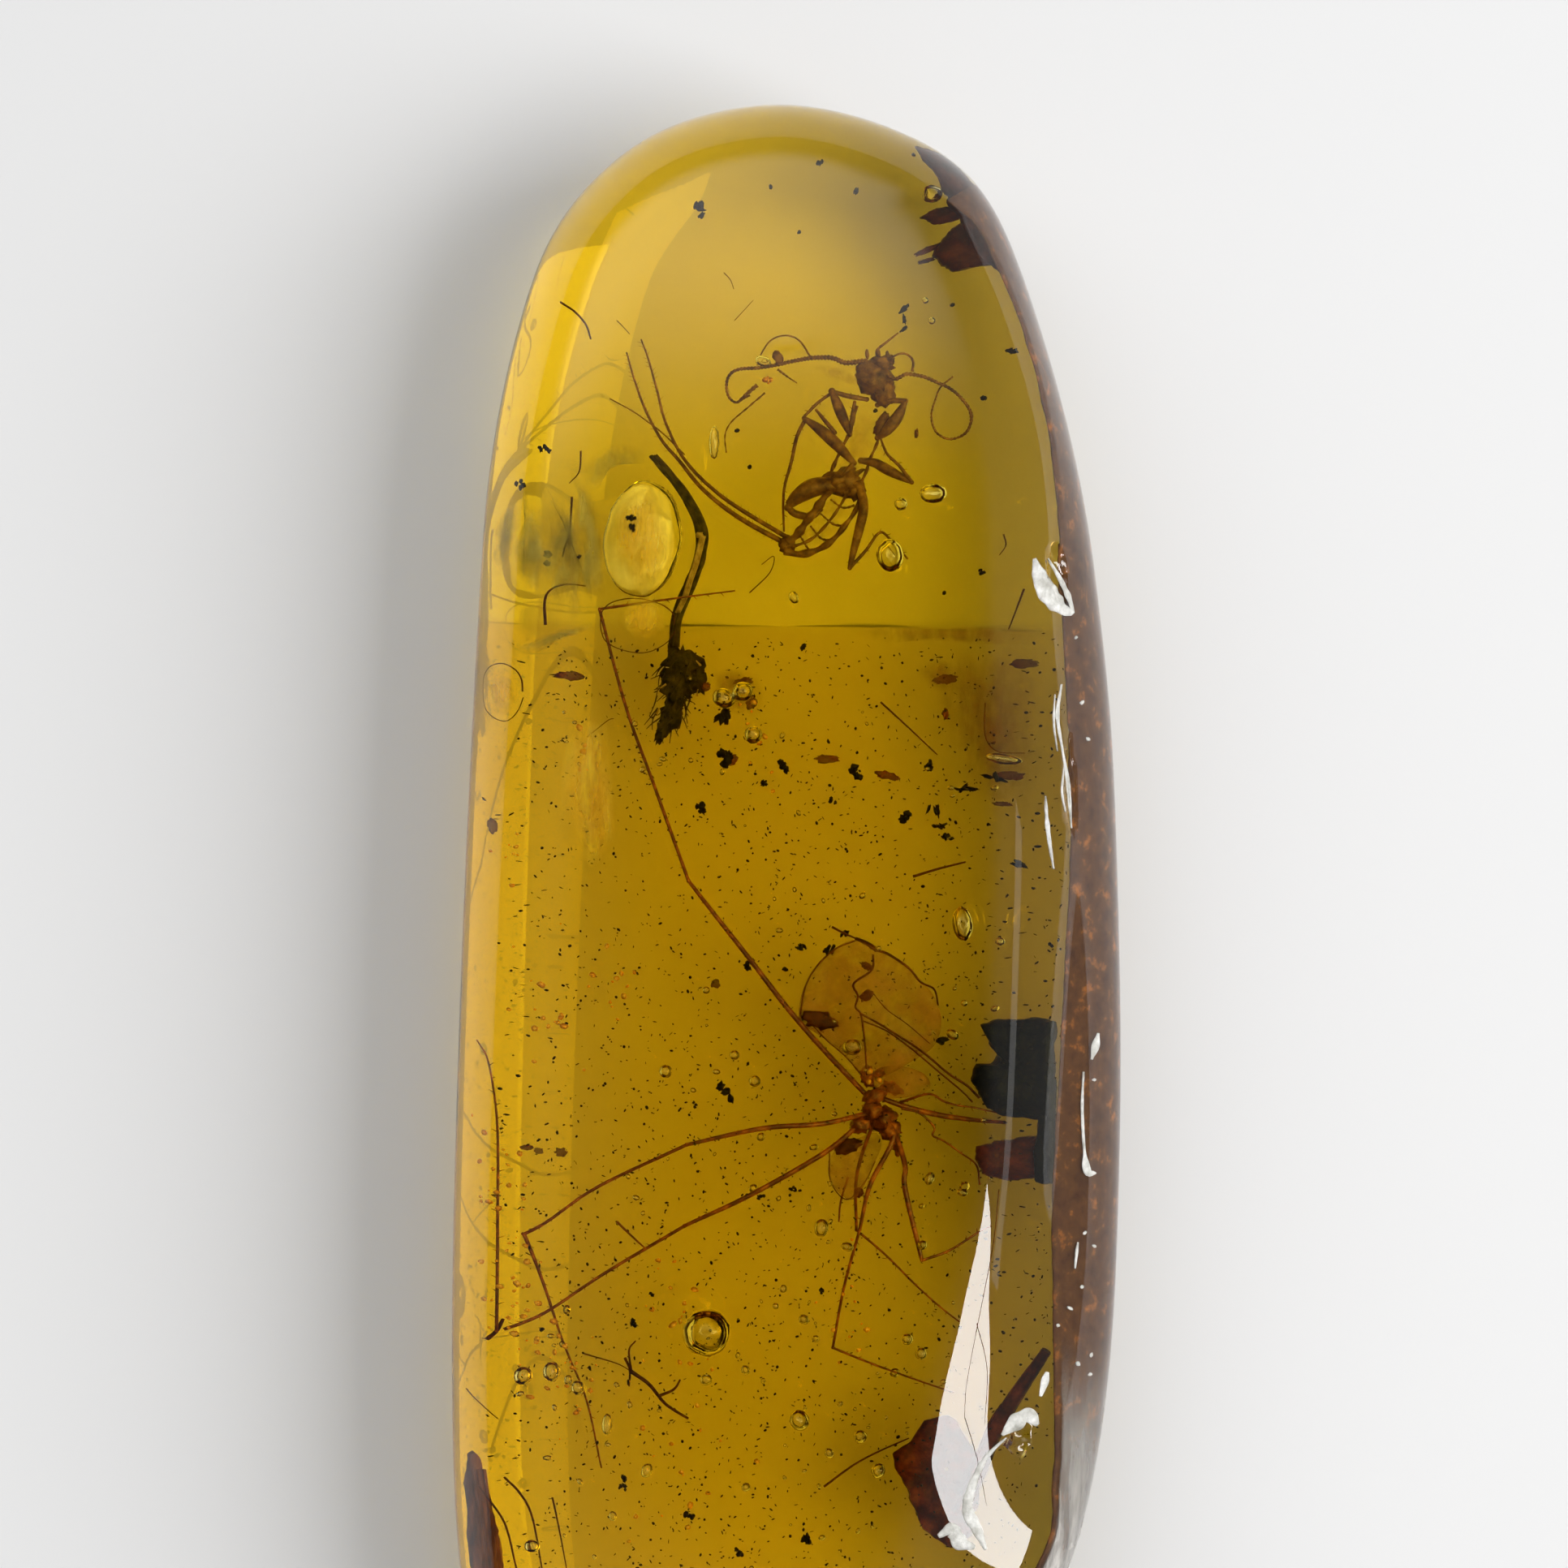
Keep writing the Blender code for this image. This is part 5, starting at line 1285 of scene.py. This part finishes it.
def speck_scatter(material):
    """A node set-up that strews small tilted specks over the faces that it is given."""
    group = bpy.data.node_groups.new("speck_scatter", "GeometryNodeTree")
    face = group.interface
    face.new_socket("Geometry", in_out="INPUT", socket_type="NodeSocketGeometry")
    inputs = {}
    for name, kind in (("Density", "NodeSocketFloat"), ("Size", "NodeSocketFloat"),
                       ("Depth", "NodeSocketFloat"), ("Seed", "NodeSocketInt")):
        inputs[name] = face.new_socket(name, in_out="INPUT", socket_type=kind)
    face.new_socket("Geometry", in_out="OUTPUT", socket_type="NodeSocketGeometry")
    nodes, links = group.nodes, group.links
    given, result = nodes.new("NodeGroupInput"), nodes.new("NodeGroupOutput")
    strew = nodes.new("GeometryNodeDistributePointsOnFaces")
    links.new(given.outputs["Geometry"], strew.inputs["Mesh"])
    links.new(given.outputs["Density"], strew.inputs["Density"])
    links.new(given.outputs["Seed"], strew.inputs["Seed"])

    def random_vector(low, high, offset):
        node = nodes.new("FunctionNodeRandomValue")
        node.data_type = "FLOAT_VECTOR"
        node.inputs["Min"].default_value = low
        node.inputs["Max"].default_value = high
        add = nodes.new("ShaderNodeMath")
        add.inputs[1].default_value = offset
        links.new(given.outputs["Seed"], add.inputs[0])
        links.new(add.outputs[0], node.inputs["Seed"])
        return node.outputs["Value"]

    shift = nodes.new("ShaderNodeVectorMath")
    shift.operation = "SCALE"
    links.new(random_vector((-0.3, -0.3, -1), (0.3, 0.3, 1), 3), shift.inputs[0])
    links.new(given.outputs["Depth"], shift.inputs["Scale"])
    move = nodes.new("GeometryNodeSetPosition")
    links.new(strew.outputs["Points"], move.inputs["Geometry"])
    links.new(shift.outputs[0], move.inputs["Offset"])
    speck = nodes.new("GeometryNodeMeshIcoSphere")
    speck.inputs["Subdivisions"].default_value = 1
    links.new(given.outputs["Size"], speck.inputs["Radius"])
    copy = nodes.new("GeometryNodeInstanceOnPoints")
    links.new(move.outputs["Geometry"], copy.inputs["Points"])
    links.new(speck.outputs["Mesh"], copy.inputs["Instance"])
    links.new(random_vector((0, 0, 0), (6.28, 6.28, 6.28), 5), copy.inputs["Rotation"])
    links.new(random_vector((0.25, 0.25, 0.12), (0.9, 1.25, 0.4), 9), copy.inputs["Scale"])
    realize = nodes.new("GeometryNodeRealizeInstances")
    links.new(copy.outputs["Instances"], realize.inputs["Geometry"])
    paint = nodes.new("GeometryNodeSetMaterial")
    paint.inputs["Material"].default_value = material
    links.new(realize.outputs["Geometry"], paint.inputs["Geometry"])
    links.new(paint.outputs["Geometry"], result.inputs["Geometry"])
    return group, inputs


def make_specks(stone, material):
    """Fine specks all through the lower flow, strewn in a few layers."""
    bm = bmesh.new()
    for height in SPECK_LAYERS:
        margin = 1.7 + 0.25 * abs(height - 3.6)
        for low in range(-18, 8, 2):
            corners = []
            for y, side in ((low, stone.left), (low, stone.right), (low + 2, stone.right),
                            (low + 2, stone.left)):
                edge = curve_value(side, y)
                corners.append(bm.verts.new((edge - math.copysign(margin, edge), y, height)))
            bm.faces.new(corners)
    bmesh.ops.scale(bm, vec=(MM, MM, MM), verts=bm.verts)
    mesh = bpy.data.meshes.new("specks")
    bm.to_mesh(mesh)
    bm.free()
    piece = bpy.data.objects.new("specks", mesh)
    group, inputs = speck_scatter(material)
    modifier = piece.modifiers.new("speck_scatter", "NODES")
    modifier.node_group = group
    modifier[inputs["Density"].identifier] = SPECK_DENSITY / MM ** 2
    modifier[inputs["Size"].identifier] = SPECK_SIZE * MM
    modifier[inputs["Depth"].identifier] = 0.4 * MM
    modifier[inputs["Seed"].identifier] = SPECK_SEED
    bpy.context.scene.collection.objects.link(piece)
    settle(piece)
    piece.data.shade_smooth()
    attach(piece, "root")


def clear_material(name, tint, density, ior):
    """A see-through resin that soaks up light along its way."""
    material = bpy.data.materials.new(name)
    material.use_nodes = True
    nodes, links = material.node_tree.nodes, material.node_tree.links
    shader = nodes["Principled BSDF"]
    shader.inputs["Base Color"].default_value = (1, 1, 1, 1)
    shader.inputs["Transmission Weight"].default_value = 1.0
    shader.inputs["IOR"].default_value = ior
    shader.inputs["Roughness"].default_value = 0.0
    absorb = nodes.new("ShaderNodeVolumeAbsorption")
    absorb.inputs["Color"].default_value = (*tint, 1)
    absorb.inputs["Density"].default_value = density
    links.new(absorb.outputs["Volume"], nodes["Material Output"].inputs["Volume"])
    return material


def grained(name, colours, grain, roughness=0.5, bump=0.3, alpha=None,
            stretch=(1, 1, 1), gloss=0.15, fade=False):
    """A natural surface: colours mixed by a broad and a fine grain, which also roughen it.

    The grain is the number of broad grains in a millimetre. A sheet that fades thins out
    towards its rim.
    """
    material = bpy.data.materials.new(name)
    material.use_nodes = True
    nodes, links = material.node_tree.nodes, material.node_tree.links
    shader = nodes["Principled BSDF"]
    place = nodes.new("ShaderNodeTexCoord")
    scale = nodes.new("ShaderNodeMapping")
    scale.inputs["Scale"].default_value = [grain * step / MM for step in stretch]
    links.new(place.outputs["Object"], scale.inputs["Vector"])

    def grains(size, detail):
        node = nodes.new("ShaderNodeTexNoise")
        node.inputs["Scale"].default_value = size
        node.inputs["Detail"].default_value = detail
        node.inputs["Roughness"].default_value = 0.62
        links.new(scale.outputs["Vector"], node.inputs["Vector"])
        return node.outputs["Fac"]

    broad, fine = grains(1.0, 5.0), grains(4.5, 3.0)
    ramp = nodes.new("ShaderNodeValToRGB")
    stops = ramp.color_ramp.elements
    while len(stops) < len(colours):
        stops.new(0.5)
    for index, colour in enumerate(colours):
        stops[index].position = 0.3 + 0.4 * index / (len(colours) - 1)
        stops[index].color = (*colour, 1)
    links.new(broad, ramp.inputs["Fac"])
    links.new(ramp.outputs["Color"], shader.inputs["Base Color"])
    shader.inputs["Roughness"].default_value = roughness
    shader.inputs["Specular IOR Level"].default_value = gloss
    relief = nodes.new("ShaderNodeBump")
    relief.inputs["Strength"].default_value = bump
    relief.inputs["Distance"].default_value = 0.03 * MM
    links.new(fine, relief.inputs["Height"])
    links.new(relief.outputs["Normal"], shader.inputs["Normal"])
    if alpha:
        veil = nodes.new("ShaderNodeMapRange")
        veil.inputs["From Min"].default_value = 0.3
        veil.inputs["From Max"].default_value = 0.7
        veil.inputs["To Min"].default_value = alpha[0]
        veil.inputs["To Max"].default_value = alpha[1]
        links.new(broad, veil.inputs["Value"])
        cover = veil.outputs["Result"]
        if fade:
            rim = nodes.new("ShaderNodeAttribute")
            rim.attribute_name = "rim"
            thin = nodes.new("ShaderNodeMapRange")
            thin.interpolation_type = "SMOOTHSTEP"
            thin.inputs["From Min"].default_value = 1.0
            thin.inputs["From Max"].default_value = 0.25
            links.new(rim.outputs["Fac"], thin.inputs["Value"])
            both = nodes.new("ShaderNodeMath")
            both.operation = "MULTIPLY"
            links.new(cover, both.inputs[0])
            links.new(thin.outputs["Result"], both.inputs[1])
            cover = both.outputs[0]
        links.new(cover, shader.inputs["Alpha"])
    return material


def plain_material(name, colour, roughness):
    material = bpy.data.materials.new(name)
    material.use_nodes = True
    shader = material.node_tree.nodes["Principled BSDF"]
    shader.inputs["Base Color"].default_value = (*colour, 1.0)
    shader.inputs["Roughness"].default_value = roughness
    return material


def make_inclusions(stone, sight, clear):
    fly =grained("fly_cuticle", [(0.06, 0.012, 0.002), (0.2, 0.045, 0.005),
                                  (0.55, 0.16, 0.015)], 3.4, 0.35, gloss=0.5)
    wing = grained("fly_wing", [(0.26, 0.075, 0.008), (0.5, 0.18, 0.015)], 1.6, 0.35,
                   alpha=(0.05, 0.5), gloss=0.4)
    vein = grained("fly_vein", [(0.03, 0.008, 0.002), (0.16, 0.045, 0.006)], 2.0, 0.5)
    cricket = grained("cricket_cuticle", [(0.06, 0.02, 0.004), (0.2, 0.085, 0.011),
                                          (0.4, 0.19, 0.03)], 3.4, 0.45, gloss=0.3)
    skin = grained("cricket_skin", [(0.3, 0.14, 0.02), (0.7, 0.42, 0.07)], 1.6, 0.35,
                   alpha=(-0.05, 0.4), fade=True, gloss=0.4)
    moss = grained("plant_hair", [(0.02, 0.018, 0.006), (0.075, 0.06, 0.015),
                                  (0.14, 0.11, 0.03)], 4.0, 0.7)
    straw = grained("pale_twig", [(0.3, 0.19, 0.07), (0.7, 0.52, 0.24)], 5.0, 0.6)
    bark = grained("bark", [(0.02, 0.008, 0.004), (0.07, 0.013, 0.004), (0.15, 0.032, 0.007)],
                   1.8, 0.5, 0.7)
    soot = grained("charcoal", [(0.003, 0.004, 0.007), (0.008, 0.01, 0.016),
                                (0.016, 0.014, 0.016)], 2.5, 0.45, 0.7, gloss=0.08)
    red = grained("red_leaf", [(0.03, 0.006, 0.003), (0.09, 0.016, 0.005), (0.22, 0.04, 0.01)],
                  2.0, 0.45, 0.7)
    sliver = grained("leaf_sliver", [(0.06, 0.015, 0.003), (0.16, 0.045, 0.008),
                                     (0.3, 0.1, 0.02)], 2.5, 0.5, 0.4, stretch=(3, 0.4, 1))
    rust = grained("rusty_grain", [(0.1, 0.02, 0.002), (0.3, 0.075, 0.006)], 2.0, 0.5,
                   alpha=(0.45, 0.9))
    dark = grained("dark_grain", [(0.006, 0.005, 0.003), (0.03, 0.02, 0.008)], 5.0, 0.6)
    # Bright orange flecks: painted glints
    glint = grained("orange_glint", [(1.0, 0.35, 0.01), (1.0, 0.6, 0.06)], 5.0, 0.15, 0.1,
                    gloss=0.5)
    smoke = grained("smoky_fold", [(0.1, 0.085, 0.035), (0.75, 0.68, 0.36)], 1.5, 0.6, 0.2,
                    alpha=(0.0, 0.6), stretch=(1.6, 0.5, 1), fade=True)
    stain = grained("brown_stain", [(0.12, 0.035, 0.004), (0.3, 0.1, 0.01)], 0.9, 0.6, 0.2,
                    alpha=(0.0, 0.5), stretch=(1.8, 0.5, 1), fade=True)
    rind = grained("wall_rind", [(0.09, 0.032, 0.009), (0.14, 0.052, 0.014),
                                 (0.19, 0.075, 0.02), (0.6, 0.2, 0.03)], 2.2, 0.55, 0.5,
                   alpha=(0.97, 0.8))
    # White of the chip scars: partly frosted break, partly painted reflection of the window
    frost = grained("frost_and_painted_glare", [(0.55, 0.54, 0.48), (0.93, 0.92, 0.88)], 3.0, 0.3, 0.7,
                    alpha=(0.75, 1.0), gloss=0.5)
    # Pale sheet on the low end of the wall: a painted reflection of the floor and window
    painted_sheen = grained("painted_wall_sheen", [(0.5, 0.46, 0.42), (0.85, 0.82, 0.77)], 1.4, 0.5, 0.3,
                   alpha=(0.15, 0.85), stretch=(2.5, 0.22, 1), fade=True)
    # Golden films: their bright gold is painted glow and painted reflection
    gold = grained("painted_glow_film", [(1.0, 0.56, 0.01), (1.0, 0.78, 0.05)], 1.6, 0.3, 0.2,
                   alpha=(0.1, 0.85), stretch=(2.2, 0.4, 1), gloss=0.5, fade=True)
    # Dark film in the left edge: painted shade
    edge = grained("painted_edge_shade", [(0.05, 0.018, 0.003), (0.2, 0.07, 0.006)], 0.8, 0.6, 0.2,
                   alpha=(0.5, 0.95), stretch=(1, 0.4, 1), fade=True)
    make_crane_fly(sight, fly)
    make_fly_wings(sight, wing, vein)
    make_cricket(sight, cricket)
    make_cricket_skin(sight, skin)
    make_strand(sight, moss, straw)
    make_flake(sight, bark)
    make_fragment(sight, soot, red)
    make_leaf(sight, red)
    make_sliver(sight, sliver)
    make_hairs(sight, vein)
    make_crumbs(sight, dark, rust)
    make_glints(sight, glint)
    make_veils(sight, smoke, stain)
    make_gleams(sight, gold)
    make_hairline(sight, vein)
    make_scars_and_glare(Sight(clear), frost)
    make_wall_skin(stone, rind, edge, painted_sheen)
    make_specks(stone, dark)


def make_floor():
    bpy.ops.mesh.primitive_plane_add(size=FLOOR_SIZE, location=(0, 0, 0))
    floor = bpy.context.object
    floor.name = "floor"
    floor.data.materials.append(plain_material("pale_floor", (FLOOR_GREY, FLOOR_GREY, FLOOR_GREY), 0.8))


def make_camera():
    data = bpy.data.cameras.new("camera")
    camera = bpy.data.objects.new("camera", data)
    bpy.context.scene.collection.objects.link(camera)
    data.sensor_width = SENSOR_WIDTH
    data.lens = SENSOR_WIDTH * CAMERA_HEIGHT / FRAME_WIDTH
    data.clip_start = 0.005
    data.clip_end = 10.0
    camera.location = (CAMERA_PLACE[0] * MM, CAMERA_PLACE[1] * MM,
                       (GIRDLE_HEIGHT + CAMERA_HEIGHT) * MM)
    bpy.context.scene.camera = camera


def make_area_light(name, place, aim, size, power):
    data = bpy.data.lights.new(name, "AREA")
    data.shape = "RECTANGLE"
    data.size, data.size_y = size[0] * MM, size[1] * MM
    data.energy = power
    light = bpy.data.objects.new(name, data)
    bpy.context.scene.collection.objects.link(light)
    light.location = Vector(place) * MM
    light.rotation_euler = (Vector(aim) - Vector(place)).to_track_quat("-Z", "Y").to_euler()
    return light


def make_world():
    """A room brighter on the right, dark overhead, with a pale ceiling towards the top end."""
    world = bpy.data.worlds.new("room")
    world.use_nodes = True
    nodes, links = world.node_tree.nodes, world.node_tree.links

    def math_node(operation, first, second):
        node = nodes.new("ShaderNodeMath")
        node.operation = operation
        for socket, value in zip(node.inputs, (first, second)):
            if isinstance(value, float):
                socket.default_value = value
            else:
                links.new(value, socket)
        return node.outputs[0]

    def ramp(value, low, high):
        node = nodes.new("ShaderNodeMapRange")
        node.interpolation_type = "SMOOTHSTEP"
        links.new(value, node.inputs["Value"])
        node.inputs["From Min"].default_value = low
        node.inputs["From Max"].default_value = high
        return node.outputs["Result"]

    place = nodes.new("ShaderNodeTexCoord")
    parts = nodes.new("ShaderNodeSeparateXYZ")
    links.new(place.outputs["Generated"], parts.inputs[0])
    x, y, z = parts.outputs
    side = math_node("MULTIPLY_ADD", x, ROOM_SIDE)
    side.node.inputs[2].default_value = ROOM_LEVEL
    room = math_node("MULTIPLY", ramp(z, *ROOM_OVERHEAD), side)
    panel = math_node("MULTIPLY", ramp(y, *CEILING_Y), ramp(z, *CEILING_Z))
    panel = math_node("MULTIPLY", panel, ramp(x, *CEILING_X))
    panel = math_node("MULTIPLY", panel, CEILING_LEVEL)
    back = nodes["Background"]
    back.inputs["Color"].default_value = (1, 1, 1, 1)
    links.new(math_node("ADD", room, panel), back.inputs["Strength"])
    bpy.context.scene.world = world


def make_lights():
    """A window and its frame for the stone to mirror, and soft light for the floor and amber."""
    make_world()
    for name, place, size, power, role in LIGHTS:
        light = make_area_light(name, place, LIGHT_AIM, size, power)
        light.visible_glossy = role == "mirrored"
        light.visible_diffuse = role == "on_floor"
        light.visible_transmission = role == "through_amber"


def set_render_look():
    scene = bpy.context.scene
    scene.view_settings.view_transform = "Standard"
    scene.cycles.max_bounces = LIGHT_BOUNCES
    scene.cycles.transmission_bounces = LIGHT_BOUNCES
    scene.cycles.transparent_max_bounces = LIGHT_BOUNCES
    scene.cycles.use_denoising = True


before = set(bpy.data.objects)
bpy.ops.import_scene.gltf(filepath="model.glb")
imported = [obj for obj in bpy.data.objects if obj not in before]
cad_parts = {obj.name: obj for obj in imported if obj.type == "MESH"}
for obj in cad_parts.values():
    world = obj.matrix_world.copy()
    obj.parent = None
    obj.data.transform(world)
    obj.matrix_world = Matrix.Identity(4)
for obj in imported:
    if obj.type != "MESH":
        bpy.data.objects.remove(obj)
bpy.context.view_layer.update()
stone = Stone()
clear = make_stone(stone, clear_material("amber", AMBER_TINT, AMBER_DENSITY, AMBER_IOR))
sight = Sight(clear)
cut_chips(clear)
blow_bubbles(clear, sight)
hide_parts("amber_upper", "amber_lower")
make_flow(stone, clear_material("later_flow", FLOW_TINT, FLOW_DENSITY, 1.0))
make_inclusions(stone, sight, clear)
make_floor()
make_camera()
make_lights()
set_render_look()
